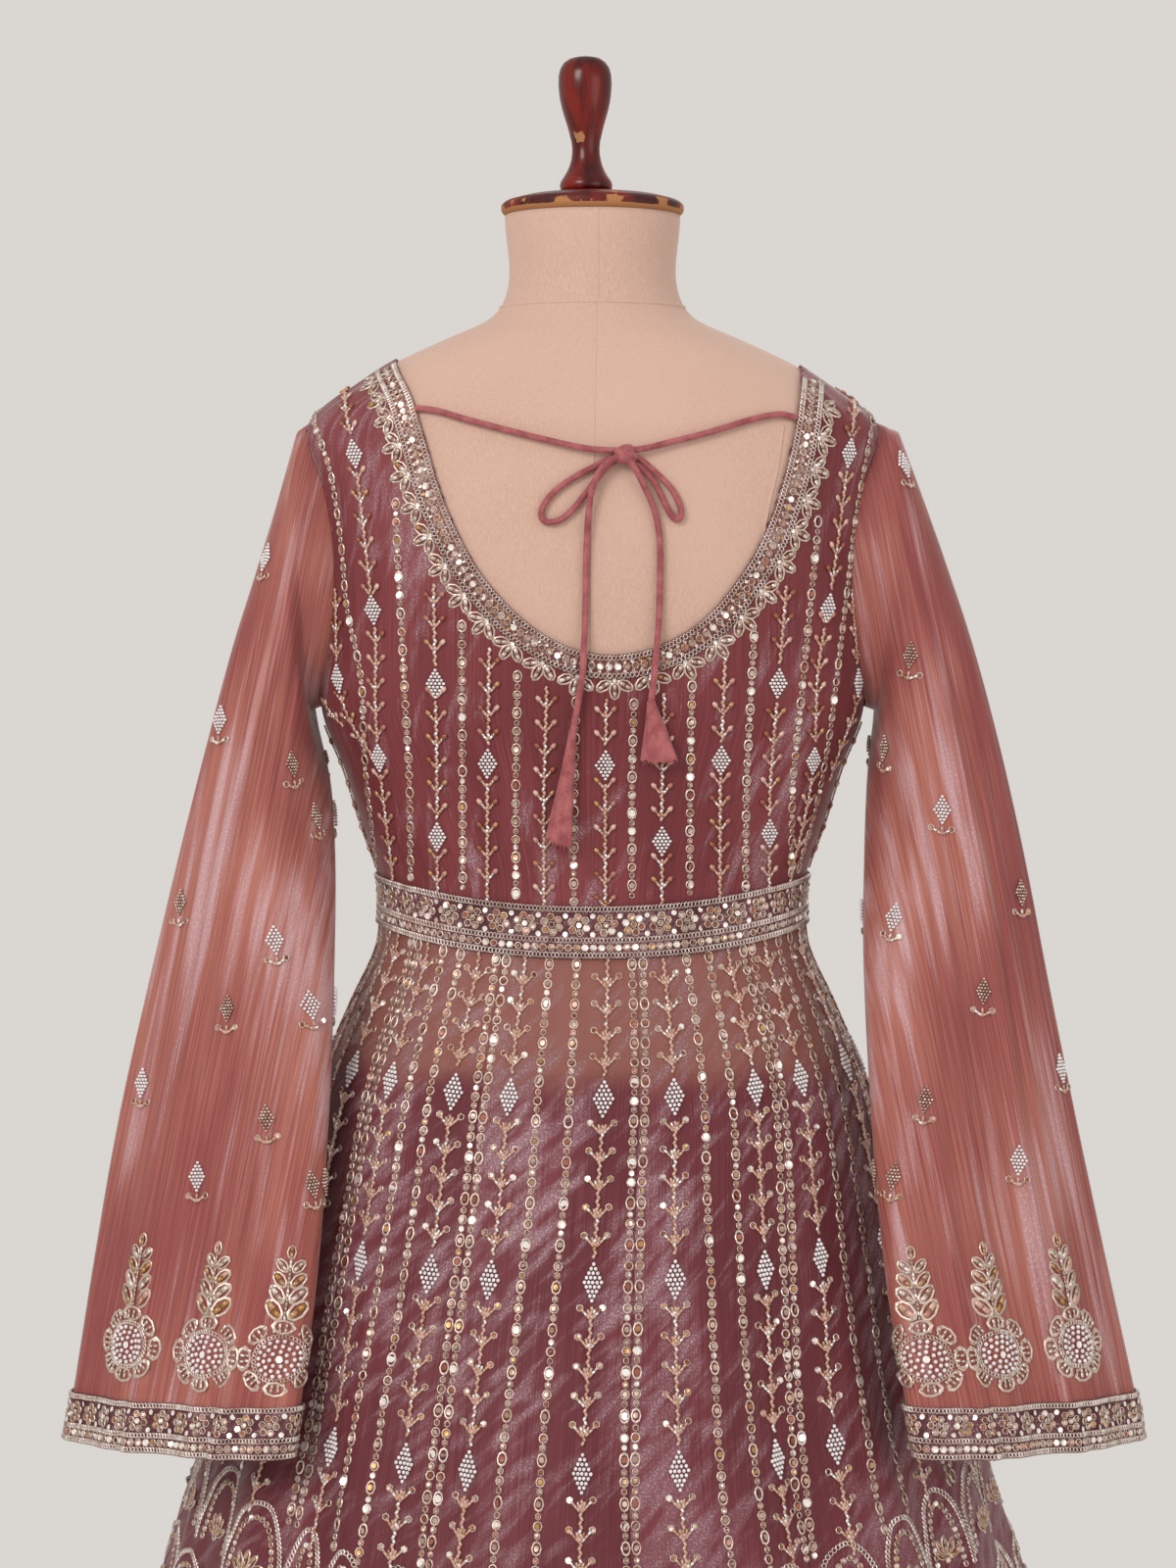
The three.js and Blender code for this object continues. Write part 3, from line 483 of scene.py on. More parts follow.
def give_wall(piece, thickness):
    wall = piece.modifiers.new("wall", "SOLIDIFY")
    wall.thickness = thickness
    wall.offset = -1.0
    wall.use_even_offset = False


form_finish = Finish("form_cloth_finish", {"Sheen Weight": 0.15, "Sheen Roughness": 0.6, "IOR": 1.4})
form_place = form_finish.node("ShaderNodeTexCoord", output=3)
form_weave = form_finish.noise(form_place, 2400.0, 1.0)
warp_place = form_finish.node("ShaderNodeMapping", {}, {"Vector": form_place, "Scale": (2200, 2200, 260)})
form_warp = form_finish.noise(warp_place, 1.0, 1.0)
form_patch = form_finish.noise(form_place, 9.0, 3.0)
form_shade = form_finish.blend(
    form_finish.band(form_patch, 0.3, 0.7), linear("#c19e8d"), linear("#c9a797")
)
form_finish.put({
    "Base Color": form_finish.blend(
        form_finish.band(form_weave * 0.5 + form_warp * 0.5, 0.4, 0.62), form_shade, linear("#d0afa0")
    ),
    "Roughness": form_weave * 0.2 + 0.72,
})
form_finish.bump(form_weave * 0.5 + form_warp * 0.5, 0.15, 0.0004)

form_low, form_high = 820, 1519


def form_skin(u, v):
    """The whole form in one skin: the first and last rows draw in to close its two ends."""
    turn = u * 360 - 180
    inside = (v - 0.02) / 0.96
    z = form_low + (form_high - form_low) * np.clip(inside, 0, 1)
    closing = np.clip(np.minimum(v, 1 - v) / 0.02, 0, 1)[:, None]
    spots = form_surface(turn, z)
    middle = np.stack([0 * z, -12 + 0 * z, z], axis=-1)
    return middle + (spots - middle) * closing


form_mesh = cloth_grid("form_body", 144, 200, form_skin, closed=True, cut=(1.0, 0.7))
dress_piece("form_body", form_mesh, form_finish, ["form_torso"])


def strip_along(name, points, normals, width, height, finish):
    """A narrow raised band laid along a line of points on a surface, in millimetres."""
    points, normals = np.asarray(points, float), np.asarray(normals, float)
    ahead = np.gradient(points, axis=0)
    sideways = np.cross(ahead, normals)
    sideways /= np.linalg.norm(sideways, axis=1, keepdims=True)

    def place(u, v):
        index = np.rint(v * (len(points) - 1)).astype(int)
        from_middle = (u - 0.5) * 2
        crown = height * np.sqrt(np.clip(1 - from_middle**2, 0, 1))
        beside = sideways[index] * (from_middle * width / 2)[:, None]
        return points[index] + beside + normals[index] * crown[:, None]

    length = np.linalg.norm(np.diff(points, axis=0), axis=1).sum() / 1000
    mesh = cloth_grid(name, 6, len(points) - 1, place, cut=(width / 1000, length))
    return dress_piece(name, mesh, finish)


def form_line(xs, zs, lift, front=False):
    """Points and normals of a line on the form, given by X and Z."""
    turn = form_turn(np.asarray(xs, float), np.asarray(zs, float), front)
    low = lifted(form_surface, turn, np.asarray(zs, float), np.full(len(zs), float(lift)))
    high = lifted(form_surface, turn, np.asarray(zs, float), np.full(len(zs), float(lift) + 1))
    return low, high - low


seam_rows = table(
    ("name", "xs", "zs", "front"),
    ("form_seam_back", (2, 1, 0, -1, -1), (1457, 1400, 1340, 1280, 1215), False),
    ("form_seam_front", (2, 2, 2, 2, 2), (1457, 1420, 1380, 1340, 1285), True),
    ("form_seam_side_back", (122, 118, 112, 108, 104), (1378, 1350, 1325, 1300, 1275), False),
    ("form_seam_neck_back", (3, 3, 3, 3, 3), (1518, 1503, 1488, 1473, 1460), False),
)
for row in seam_rows:
    zs = np.linspace(row["zs"][0], row["zs"][-1], 120)
    xs = np.interp(-zs, [-z for z in row["zs"]], row["xs"])
    line, outwards = form_line(xs, zs, -0.2, row["front"])
    strip_along(row["name"], line, outwards, 2.4, 0.7, form_finish)
neck_turns = np.linspace(-180, 180, 181)
neck_z = 0 * neck_turns + 1459.0
neck_line = lifted(form_surface, neck_turns, neck_z, 0 * neck_z - 0.3)
neck_out = lifted(form_surface, neck_turns, neck_z, 0 * neck_z + 0.7) - neck_line
strip_along("form_seam_neck", neck_line, neck_out, 3.2, 1.0, form_finish)

# --- Neck cap and finial --------------------------------------------------------------------
# Turned wood under dark red-brown lacquer: a moulded disc that closes the neck and a baluster
# finial on it. The disc is worn to pale wood along its lower edge, and chipped here and there.
wood_finish = Finish("lacquered_wood_finish", {"IOR": 1.4})
wood_place = wood_finish.node("ShaderNodeTexCoord", output=3)
grain_place = wood_finish.node("ShaderNodeMapping", {}, {"Vector": wood_place, "Scale": (60, 60, 9)})
wood_grain = wood_finish.noise(grain_place, 1.0, 5.0, Distortion=0.4)
wood_patch = wood_finish.noise(wood_place, 55.0, 4.0)
wood_height = wood_finish.node("ShaderNodeSeparateXYZ", {}, {0: wood_place}, output=2)
cap_zone = wood_finish.band(wood_height, 1.518, 1.519)
worn_edge = cap_zone * (
    wood_finish.band(wood_height, 1.5285, 1.526) * 0.14 + wood_finish.band(wood_height, 1.5225, 1.521) * 0.4
)
wood_chip = wood_finish.band(wood_patch + worn_edge, 0.68, 0.71)
dull_top = cap_zone * wood_finish.band(wood_height, 1.534, 1.533)
wood_finish.put({
    "Base Color": wood_finish.blend(
        wood_chip,
        wood_finish.blend(wood_finish.band(wood_grain, 0.35, 0.7), linear("#340504"), linear("#7c170c")),
        linear("#a8744a"),
    ),
    "Roughness": wood_chip * 0.3 + wood_grain * 0.15 + dull_top * 0.3 + 0.16,
})
wood_finish.bump(wood_grain * 0.3 - wood_chip, 0.35, 0.0008)


def turned_piece(name, profile, centre, finish, stands_for, tilt=0.0):
    """A turned piece: its profile of radius and height, in millimetres, spun round."""
    lathe = bmesh.new()
    ends = [lathe.verts.new((radius / 1000, 0, height / 1000)) for radius, height in profile]
    edges = [lathe.edges.new(pair) for pair in zip(ends, ends[1:])]
    bmesh.ops.spin(
        lathe, geom=ends + edges, cent=(0, 0, 0), axis=(0, 0, 1), angle=2 * math.pi, steps=72, use_merge=True
    )
    bmesh.ops.remove_doubles(lathe, verts=lathe.verts, dist=1e-6)
    bmesh.ops.recalc_face_normals(lathe, faces=lathe.faces)
    for face in lathe.faces:
        face.smooth = True
    for vert in lathe.verts:
        x, y, z = vert.co
        leaned = Vector((x * math.cos(tilt) + z * math.sin(tilt), y, z * math.cos(tilt) - x * math.sin(tilt)))
        vert.co = leaned + Vector(centre) / 1000
    mesh = bpy.data.meshes.new(name)
    lathe.to_mesh(mesh)
    lathe.free()
    return dress_piece(name, mesh, finish, stands_for)


def rounded(profile, steps=5):
    """A turner's profile with its corners eased."""
    points = [Vector(point) for point in profile]
    eased = [points[0]]
    for before, corner, after in zip(points, points[1:], points[2:]):
        reach = min(1.2, (corner - before).length * 0.4, (after - corner).length * 0.4)
        start = corner + (before - corner).normalized() * reach
        end = corner + (after - corner).normalized() * reach
        for step in range(steps + 1):
            t = step / steps
            eased.append((1 - t) ** 2 * start + 2 * t * (1 - t) * corner + t**2 * end)
    eased.append(points[-1])
    return [(point.x, point.y) for point in eased]


cap_profile = [(0, 0), (57.5, 0), (60, 2.5), (60, 6.5), (57, 9), (46, 12), (24, 14.8), (0, 14.8)]
cap_round = rounded(cap_profile)
turned_piece("cap_disc", cap_round, (0, -12, 1519.3), wood_finish, ["neck_cap"])
finial_curve = [
    (0, 0), (16, 0), (17.2, 2), (17.6, 4.5), (17, 7), (15.4, 9.6), (13.2, 13), (11.2, 17),
    (10, 21), (9.3, 25), (9.2, 29), (9.6, 33), (10.6, 37), (12.1, 43), (14, 49), (15.6, 54.5),
    (16.8, 60), (17.5, 65.5), (17.8, 71), (17.6, 76), (16.6, 80.4), (14.6, 84), (11.6, 86.6),
    (7, 88.2), (0, 88.7),
]
finial_foot, finial_lean = (-4, -12, 1534.4), -0.01
turned_piece(
    "finial_turning", finial_curve, finial_foot, wood_finish, ["neck_finial"], finial_lean
)

# --- Stand ----------------------------------------------------------------------------------
# A painted steel pole in a turned, weighted wooden base. The skirt hides it from most sides.
base_profile = [
    (0, 0), (211, 0), (215, 3), (215, 13), (212, 18), (205, 23.5), (120, 26), (70, 28), (52, 34),
    (46, 46), (0, 46),
]
turned_piece("base_turning", rounded(base_profile), (0, 0, 0), wood_finish, ["stand_base"])
pole_finish = Finish("pole_paint", {"IOR": 1.5})
pole_place = pole_finish.node("ShaderNodeTexCoord", output=3)
pole_grain = pole_finish.noise(pole_place, 220.0)
pole_finish.put({
    "Base Color": pole_finish.blend(pole_grain, linear("#2c2825"), linear("#3b3531")),
    "Roughness": pole_grain * 0.2 + 0.35,
})
pole_finish.bump(pole_grain, 0.15, 0.0004)
pole_profile = [(0, 46.3), (26, 46.3), (26, 50), (21, 58), (17, 60), (17, 819.7), (0, 819.7)]
turned_piece("pole_tube", rounded(pole_profile), (0, 0, 0), pole_finish, ["stand_pole"])

# --- Lining skirt ---------------------------------------------------------------------------
# Ten gores of matt wine lining, hung from below the hips inside the outer skirt. It starts
# under the sheer top of the skirt, and its top edge shows through there.
hem, waist_side, waist_dip = 15.0, 1070.0, 16.0
lining_top, lining_hem = 966.0, 32.0
skirt_rows = table(
    ("z", "half", "back", "front"),
    (1090, 140, -89.5, 94),
    (1070, 140, -90, 94.5),
    (1055, 140.5, -91, 94.5),
    (1037, 143, -95, 96.5),
    (1000, 160, -110, 110),
    (947, 183, -140, 139),
    (870, 208, -174, 172),
    (696, 264, -239, 236),
    (500, 328, -309, 306),
    (250, 410, -397, 396),
    (15, 484, -472, 475),
)
panel_rows = table(
    ("waist", "low"),
    (-53, -46), (-22, -23), (10, 5), (43, 31), (80, 62), (121, 104), (158, 147), (190, 189),
    (223, 231), (264, 274),
)
panel_count = len(panel_rows)
read_skirt = table_reader(skirt_rows, "z", ["half", "back", "front"])


def skirt_ring(turn, z, square):
    ring = read_skirt(z)
    ring["ridge"] = 0 * ring["half"]
    ring["square"] = square
    return ring_point(ring, turn, z)


def lining_surface(turn, z):
    spot = skirt_ring(turn, z, 2.0 + 0 * z)
    radius = np.hypot(spot[..., 0], spot[..., 1])
    top_room, hem_room = 9, 42
    inwards = hem_room * np.clip((lining_top - z) / (lining_top - hem), 0, 1)
    spot[..., :2] *= ((radius - top_room - inwards) / radius)[..., None]
    return spot


def seam_turn(index, z):
    row = panel_rows[index % panel_count]
    settled = np.clip((waist_side - z) / (waist_side - 700), 0, 1)
    settled = settled * settled * (3 - 2 * settled)
    return row["waist"] + (row["low"] - row["waist"]) * settled + (360 if index >= panel_count else 0)


def panel_turn(index, u, z):
    return seam_turn(index, z) * (1 - u) + seam_turn(index + 1, z) * u


lining_finish = Finish("lining_cloth_finish", {"Sheen Weight": 0.1, "IOR": 1.4})
lining_place = lining_finish.node("ShaderNodeTexCoord", output=3)
lining_weave = lining_finish.noise(lining_place, 1100.0, 1.0)
lining_patch = lining_finish.noise(lining_place, 14.0, 3.0)
lining_share = lining_finish.band(lining_patch * 0.6 + lining_weave * 0.4, 0.35, 0.65)
lining_finish.put({
    "Base Color": lining_finish.blend(lining_share, linear("#5a2730"), linear("#6d323b")),
    "Roughness": lining_weave * 0.2 + 0.6,
})
lining_finish.bump(lining_weave, 0.2, 0.0005)

lining_pieces = []
for index in range(panel_count):

    def gore(u, v, index=index):
        z = lining_hem + (lining_top - lining_hem) * v
        return lifted(lining_surface, panel_turn(index, u, z), z, 0 * z + 0.5)

    name = "lining_gore_%02d" % (index + 1)
    piece = dress_piece(
        name,
        cloth_grid(name, 16, 48, gore, cut=(0.27, 1.02)),
        lining_finish,
        ["lining_%02d" % (index + 1)],
    )
    give_wall(piece, 0.0008)
    lining_pieces.append(piece)

# --- Outer skirt ----------------------------------------------------------------------------
# Ten flared panels of wine-mauve tissue organza, joined by plain seams from the waist to the
# hem and hung in long soft folds. The cloth is crushed on the slant, and paler lilac streaks of
# painted sheen follow the crush.
fold_rows = table(
    ("turn", "start", "depth", "width"),
    (-23, 900, 40, 6.5),
    (-44, 940, 30, 6),
    (-66, 960, 34, 7),
    (-80, 820, 26, 7),
    (-104, 930, 38, 7.5),
    (-132, 860, 30, 7),
    (-161, 930, 36, 7.5),
    (-8, 620, 14, 5),
    (9, 800, 24, 6),
    (31, 960, 36, 6.5),
    (54, 900, 32, 6.5),
    (77, 950, 30, 7),
    (101, 860, 36, 7.5),
    (126, 930, 30, 7),
    (150, 880, 38, 8),
    (175, 940, 28, 7),
)
crush_rows = table(
    ("turns", "falls", "slant", "size"),
    (31, 5.2, 1.3, 0.9),
    (57, 8.1, -0.4, 0.55),
    (83, 19.0, 2.1, 0.4),
)


def skirt_surface(turn, z):
    square = np.clip(2.2 + (1055 - z) / (1055 - 900) * -0.2, 2, 2.2)
    spot = skirt_ring(turn, z, square)
    radius = np.hypot(spot[..., 0], spot[..., 1])
    depth = 0 * radius
    for fold in fold_rows:
        away = (turn - fold["turn"] + 180) % 360 - 180
        grown = np.clip((fold["start"] - z) / (fold["start"] - hem), 0, None) ** 1.15
        depth = depth + fold["depth"] * grown * np.exp(-((away / fold["width"]) ** 2))
    free = np.clip((1010 - z) / 300, 0, 1)
    for crush in crush_rows:
        slanted = crush["slant"] * np.sin(z / 90)
        angle = np.radians(turn) * crush["turns"] + (z / 1000) * crush["falls"] * 6 + slanted
        depth = depth + crush["size"] * free * np.sin(angle)
    spot[..., :2] *= ((radius - depth) / radius)[..., None]
    return spot


def waist_seam(turn):
    return waist_side - waist_dip * np.cos(np.radians(turn)) ** 2


def panel_place(index, u, share, lift):
    """A point of a skirt panel: u runs across it, and share from its hem to the waist seam."""
    top = waist_seam(panel_turn(index, u, waist_side + 0 * u)) - 0.15
    z = hem + (top - hem) * share
    return lifted(skirt_surface, panel_turn(index, u, z), z, lift + 0 * z)


def organza_finish(
    name, deep, mid, lilac, alpha, sheen,
    streak=(0.035, 0.008), slant=0.8, sheen_range=(0.43, 0.66), bare_painted_light=None, lean=None,
):
    """Tissue organza: a fine ribbed weave, crushed on the slant, with paler streaks of painted sheen
    and near-white specks of painted glints across them.

    alpha holds how close it is where it hangs sheer, plain and under the painted sheen, and streak
    a streak's length and breadth in metres, at slant on the cut. bare is its colour with no lining
    behind it: the form showing through, painted lighter to stand in for light falling on it. With a
    lean the streaks hang upright in space instead, leaning that much to the right.
    """
    cloth = Finish(name, {"IOR": 1.42, "Sheen Weight": sheen, "Sheen Roughness": 0.35})
    cut = cloth.node("ShaderNodeUVMap", {"uv_map": "Cut"})
    spot = cloth.node("ShaderNodeTexCoord", output=3)
    flat = lean is None
    crush_map = {"Vector": cut, "Rotation": (0, 0, slant), "Scale": (*streak, 1)}
    rib_map = {"Vector": cut, "Scale": (0.0009, 0.08, 1)}
    if not flat:
        crush_map = {"Vector": spot, "Rotation": (0, lean, 0), "Scale": (streak[1], 0.035, streak[0])}
        rib_map = {"Vector": spot, "Rotation": (0, lean, 0), "Scale": (0.0009, 0.05, 0.08)}
    crush_place = cloth.node("ShaderNodeMapping", {"vector_type": "TEXTURE"}, crush_map)
    crushed = cloth.noise(crush_place, 1.0, 2.5, flat, Distortion=0.25)
    broad_place = cloth.node("ShaderNodeMapping", {}, {"Vector": cut, "Scale": (13, 5, 1)})
    broad = cloth.noise(broad_place, flat=True)
    rib = cloth.noise(cloth.node("ShaderNodeMapping", {"vector_type": "TEXTURE"}, rib_map), flat=flat)
    height = cloth.node("ShaderNodeSeparateXYZ", {}, {0: spot}, output=2)
    lined = cloth.band(height + broad * 0.03, 0.988, 0.966)
    # painted sheen: paler lilac streaks that follow the crush, the broad patches and the ribs, half as strong
    # low down as high up
    painted_sheen = cloth.band(crushed * 0.52 + broad * 0.38 + rib * 0.12, *sheen_range)
    painted_sheen = painted_sheen * (0.5 + cloth.band(height, 0.6, 0.85) * 0.5)
    # painted glints: near-white specks within the painted sheen, blended towards #dcc6cf
    painted_glint = cloth.band(cloth.noise(cut, 750.0, 1.0, flat=True), 0.5, 0.66) * painted_sheen
    ground = cloth.blend(cloth.band(broad * 0.5 + rib * 0.5, 0.34, 0.66), linear(deep), linear(mid))
    # where no lining is behind, the ground is painted a lighter peach: the colour of the form showing
    # through, painted lighter to stand in for light falling on it
    if bare_painted_light:
        ground = cloth.blend(lined, linear(bare_painted_light), ground)
    # the lilac of the painted sheen is laid over the cloth's own colour
    with_painted_sheen = cloth.blend(painted_sheen * 0.66, ground, linear(lilac))
    cloth.put({
        "Base Color": cloth.blend(painted_glint * 0.4, with_painted_sheen, linear("#dcc6cf")),
        "Roughness": 0.6 - painted_sheen * 0.2 + rib * 0.1,
        "Alpha": alpha[0] + lined * (alpha[1] - alpha[0]) + painted_sheen * (alpha[2] - alpha[1]),
    })
    cloth.bump(crushed * 0.7 + rib * 0.3, 0.3, 0.0016)
    return cloth


# its third colour is the lilac of the painted sheen; bare is the lighter peach painted where the form shows
# through
body_finish = organza_finish(
    "wine_organza", "#63252e", "#7b3842", "#936f7a", (0.5, 0.82, 0.93), 0.25, sheen_range=(0.46, 0.7), bare_painted_light="#a0635b"
)
share_rows = np.linspace(0, 1, 60)
# rows of the panels' mesh lie closer near the hem, and each cut is metres long and has its own place
row_growth, cut_long, cut_apart = 1.15, 1.09, 0.31


def panel_width(index):
    """The panel's width across the cloth at each of share_rows."""
    across = [panel_place(index, 0 * share_rows + u, share_rows, 0.0) for u in np.linspace(0, 1, 25)]
    return sum(np.linalg.norm(b - a, axis=1) for a, b in zip(across, across[1:]))


panel_widths = [panel_width(index) for index in range(panel_count)]
skirt_panels = []
for index in range(panel_count):

    def panel(u, v, index=index):
        return panel_place(index, u, v**row_growth, 0.6)

    def on_the_cut(u, v, index=index):
        wide = np.interp(v**row_growth, share_rows, panel_widths[index]) / 1000
        return (u - 0.5) * wide + cut_apart * index, v**row_growth * cut_long

    name = "skirt_panel_%02d" % (index + 1)
    mesh = cloth_grid(name, 36, 130, panel, cut=on_the_cut)
    piece = dress_piece(name, mesh, body_finish, ["kali_%02d" % (index + 1)])
    give_wall(piece, 0.0008)
    skirt_panels.append(piece)

# --- Bodice ---------------------------------------------------------------------------------
# The bodice's back and front are cut to the form, of the same organza on a fine cotton backing.
# A deep round neckline is cut out of the back and a plainer one out of the front, and the two
# halves are sewn at the shoulders and the sides.
bodice_clear, bodice_wall = 1.0, 1.2
# a half's reach round the form in degrees, and the height of its shoulders
bodice_span, bodice_top = 216, 1436
# points this near to a cut are drawn onto it
cut_reach = 2.2
side_seam_y = -10.0
armhole = {"y": -6.0, "z": 1291.0, "half_height": 95.0, "half_depth": 46.0}
neck_rows = {
    "back": table(
        ("z", "left", "right"),
        (1440, -131, 137),
        (1418, -127, 136),
        (1395, -116, 133),
        (1368, -107, 128),
        (1344, -100, 122),
        (1322, -92, 115),
        (1299, -81, 105),
        (1280, -69, 93),
        (1260, -51, 77),
        (1245, -32, 58),
        (1235, -11, 36),
        (1231.5, 12, 12),
    ),
    "front": table(
        ("z", "left", "right"),
        (1440, -131, 137),
        (1418, -127, 136),
        (1395, -121, 129),
        (1365, -111, 119),
        (1335, -94, 102),
        (1312, -68, 76),
        (1299, -36, 44),
        (1295, 4, 4),
    ),
}


def neck_curve(rows):
    """The neckline as one smooth line from the left shoulder round to the right."""
    corners = [(row["left"], row["z"]) for row in rows]
    corners += [(row["right"], row["z"]) for row in reversed(rows[:-1])]
    points = np.array(corners, float)
    padded = np.vstack([2 * points[0] - points[1], points, 2 * points[-1] - points[-2]])
    line = []
    for a, b, c, d in zip(padded, padded[1:], padded[2:], padded[3:]):
        for t in np.linspace(0, 1, 24, endpoint=False):
            bend = (2 * a - 5 * b + 4 * c - d) * t**2
            twist = (3 * b - a - 3 * c + d) * t**3
            line.append(0.5 * (2 * b + (c - a) * t + bend + twist))
    line.append(points[-1])
    line = np.array(line)
    gone = np.concatenate([[0], np.cumsum(np.linalg.norm(np.diff(line, axis=0), axis=1))])
    even = np.linspace(0, gone[-1], 420)
    return np.stack([np.interp(even, gone, line[:, 0]), np.interp(even, gone, line[:, 1])], axis=1)


neck_lines = {side: neck_curve(rows) for side, rows in neck_rows.items()}


def inside_neck(side, x, z):
    """How far a point of the bodice is inside the neckline's opening, in millimetres."""
    line = neck_lines[side]
    away = np.full(len(x), 1e9)
    for start in range(0, len(x), 4000):
        part = slice(start, start + 4000)
        gaps = np.hypot(x[part, None] - line[None, :, 0], z[part, None] - line[None, :, 1])
        away[part] = gaps.min(axis=1)
    low = line[:, 1].argmin()
    left = np.interp(z, line[: low + 1, 1][::-1], line[: low + 1, 0][::-1])
    right = np.interp(z, line[low:, 1], line[low:, 0])
    within = (z > line[low, 1]) & (x > left) & (x < right)
    return np.where(within, away, -away)


def inside_armhole(y, z):
    reach = np.hypot((y - armhole["y"]) / armhole["half_depth"], (z - armhole["z"]) / armhole["half_height"])
    return (1 - reach) * 60


def bodice_mesh(name, side):
    """One half of the bodice: a close grid on the form, cut along the neck, armholes and side."""
    columns, rows = 200, 160
    sheet = bmesh.new()
    bmesh.ops.create_grid(sheet, x_segments=columns, y_segments=rows, size=1)
    flat = np.array([vert.co[:2] for vert in sheet.verts]) / 2 + 0.5
    middle, sign = (0.0, 1) if side == "back" else (180.0, -1)

    def spots(flat):
        turn = middle + sign * (flat[:, 0] - 0.5) * bodice_span
        z = waist_seam(turn) + 0.15 + (bodice_top - waist_seam(turn)) * flat[:, 1]
        return lifted(form_surface, turn, z, 0 * z + bodice_clear + bodice_wall)

    def outside(points):
        """Positive where the cloth is cut away."""
        neck = inside_neck(side, points[:, 0], points[:, 2])
        arms = inside_armhole(points[:, 1], points[:, 2])
        seam = (points[:, 1] - side_seam_y) * sign
        return np.maximum(np.maximum(neck, arms), seam)

    points = spots(flat)
    over = outside(points)
    # points within half a cell of a cut are drawn onto it
    step = 0.25 / columns
    for _ in range(3):
        slope = np.stack(
            [
                outside(spots(flat + [step, 0])) - outside(spots(flat - [step, 0])),
                outside(spots(flat + [0, step])) - outside(spots(flat - [0, step])),
            ],
            axis=1,
        ) / (2 * step)
        size = np.maximum((slope**2).sum(axis=1), 1e-6)
        near = (np.abs(over) < cut_reach)[:, None]
        flat = flat - np.where(near, np.clip(slope * (over / size)[:, None], -0.006, 0.006), 0)
        over = np.where(near[:, 0], outside(spots(flat)), over)
    points = spots(flat) / 1000
    layer = sheet.loops.layers.uv.new("Cut")
    sheet.verts.ensure_lookup_table()
    for vert in sheet.verts:
        vert.co = points[vert.index]
    for face in sheet.faces:
        face.smooth = True
        for loop in face.loops:
            u, v = flat[loop.vert.index]
            loop[layer].uv = (u * 0.56, v * 0.39)
    lost = [face for face in sheet.faces if max(over[vert.index] for vert in face.verts) > 0.6]
    bmesh.ops.delete(sheet, geom=lost, context="FACES")
    bmesh.ops.recalc_face_normals(sheet, faces=sheet.faces)
    probe = max(sheet.faces, key=lambda face: abs(face.calc_center_median().y))
    if probe.normal.y * probe.calc_center_median().y < 0:
        bmesh.ops.reverse_faces(sheet, faces=sheet.faces)
    mesh = bpy.data.meshes.new(name)
    sheet.to_mesh(mesh)
    sheet.free()
    return mesh


close_cloth = (1.0, 1.0, 1.0)
# its third colour is the lilac of the painted sheen
bodice_finish = organza_finish(
    "wine_organza_backed", "#66242b", "#7e373c", "#8d6872", close_cloth, 0.25,
    streak=(0.045, 0.011), slant=1.25, sheen_range=(0.52, 0.74),
)
bodice_pieces = {}
for side in ("back", "front"):
    name = "bodice_cloth_" + side
    mesh = bodice_mesh(name, side)
    piece = dress_piece(name, mesh, bodice_finish, ["bodice_" + side])
    give_wall(piece, 0.0011)
    bodice_pieces[side] = piece

# --- Sleeves --------------------------------------------------------------------------------
# One long bell of sheer, unlined tissue organza for each arm, gathered a little into the armhole
# and falling flat, with three or four long soft folds. It is salmon rose where it is single.
sleeve_columns = ("outZ", "outLeft", "outRight", "inZ", "inLeft", "inRight", "outY", "inY", "depth")
sleeve_rows = table(
    sleeve_columns,
    (1378, 195, 202, 1194, 187, 188, -6, -7, 50),
    (1345, 204, 214, 1184, 185, 187, -10, -10, 50),
    (1296, 218, 231, 1166, 180, 184, -16, -18, 48),
    (1240, 234, 248, 1138, 174, 182, -22, -34, 45),
    (1175, 250, 264, 1095, 171, 180, -29, -56, 42),
    (1100, 268, 280, 1040, 170, 178, -36, -82, 39),
    (1020, 287, 295, 975, 170, 179, -43, -107, 36),
    (935, 306, 312, 905, 172, 182, -50, -131, 34),
    (850, 321, 330, 838, 176, 187, -57, -154, 32),
    (753, 336, 351, 768, 184, 197, -65, -180, 30),
    (722, 341, 356, 737, 189, 203, -68, -190, 30),
)
sleeve_fold_rows = table(
    ("turn", "depth", "width"),
    (52, 7, 16),
    (96, 9, 17),
    (137, 6, 14),
    (232, 7, 16),
    (282, 8, 18),
)
sleeve_crease_rows = table(
    ("turn", "depth", "width", "start"),
    (30, 2.6, 5, 0.05),
    (68, 4.2, 5, 0.0),
    (84, -3.2, 5, 0.1),
    (112, 4.0, 5, 0.05),
    (126, -2.6, 4, 0.3),
    (150, 2.8, 5, 0.2),
    (214, 1.8, 6, 0.1),
    (250, -1.8, 6, 0.1),
    (300, 2.0, 6, 0.1),
    (328, -1.4, 5, 0.2),
)
for index, row in enumerate(sleeve_rows):
    row["index"] = index
read_sleeve = table_reader(sleeve_rows, "index", sleeve_columns)
sleeve_last = len(sleeve_rows)


def armhole_seam(side, turn):
    """The sleeve's first ring, just inside the bodice's armhole."""
    seam_gap, half_wall, ease = 0.3, 0.6, 0.15
    room = seam_gap + half_wall + ease
    y = armhole["y"] - (armhole["half_depth"] - room) * np.sin(np.radians(turn))
    z = armhole["z"] + (armhole["half_height"] - room) * np.cos(np.radians(turn))
    ring = read_form(z)
    reach = np.where(y < ring["ridge"], ring["ridge"] - ring["back"], ring["front"] - ring["ridge"])
    share = np.minimum(1, np.abs(y - ring["ridge"]) / reach)
    half = ring["half"] * (1 - share ** ring["square"]) ** (1 / ring["square"])
    return np.stack([side * (half + 1.7), y, z], axis=-1)


def smooth(value, low, high):
    share = np.clip((value - low) / (high - low), 0, 1)
    return share * share * (3 - 2 * share)


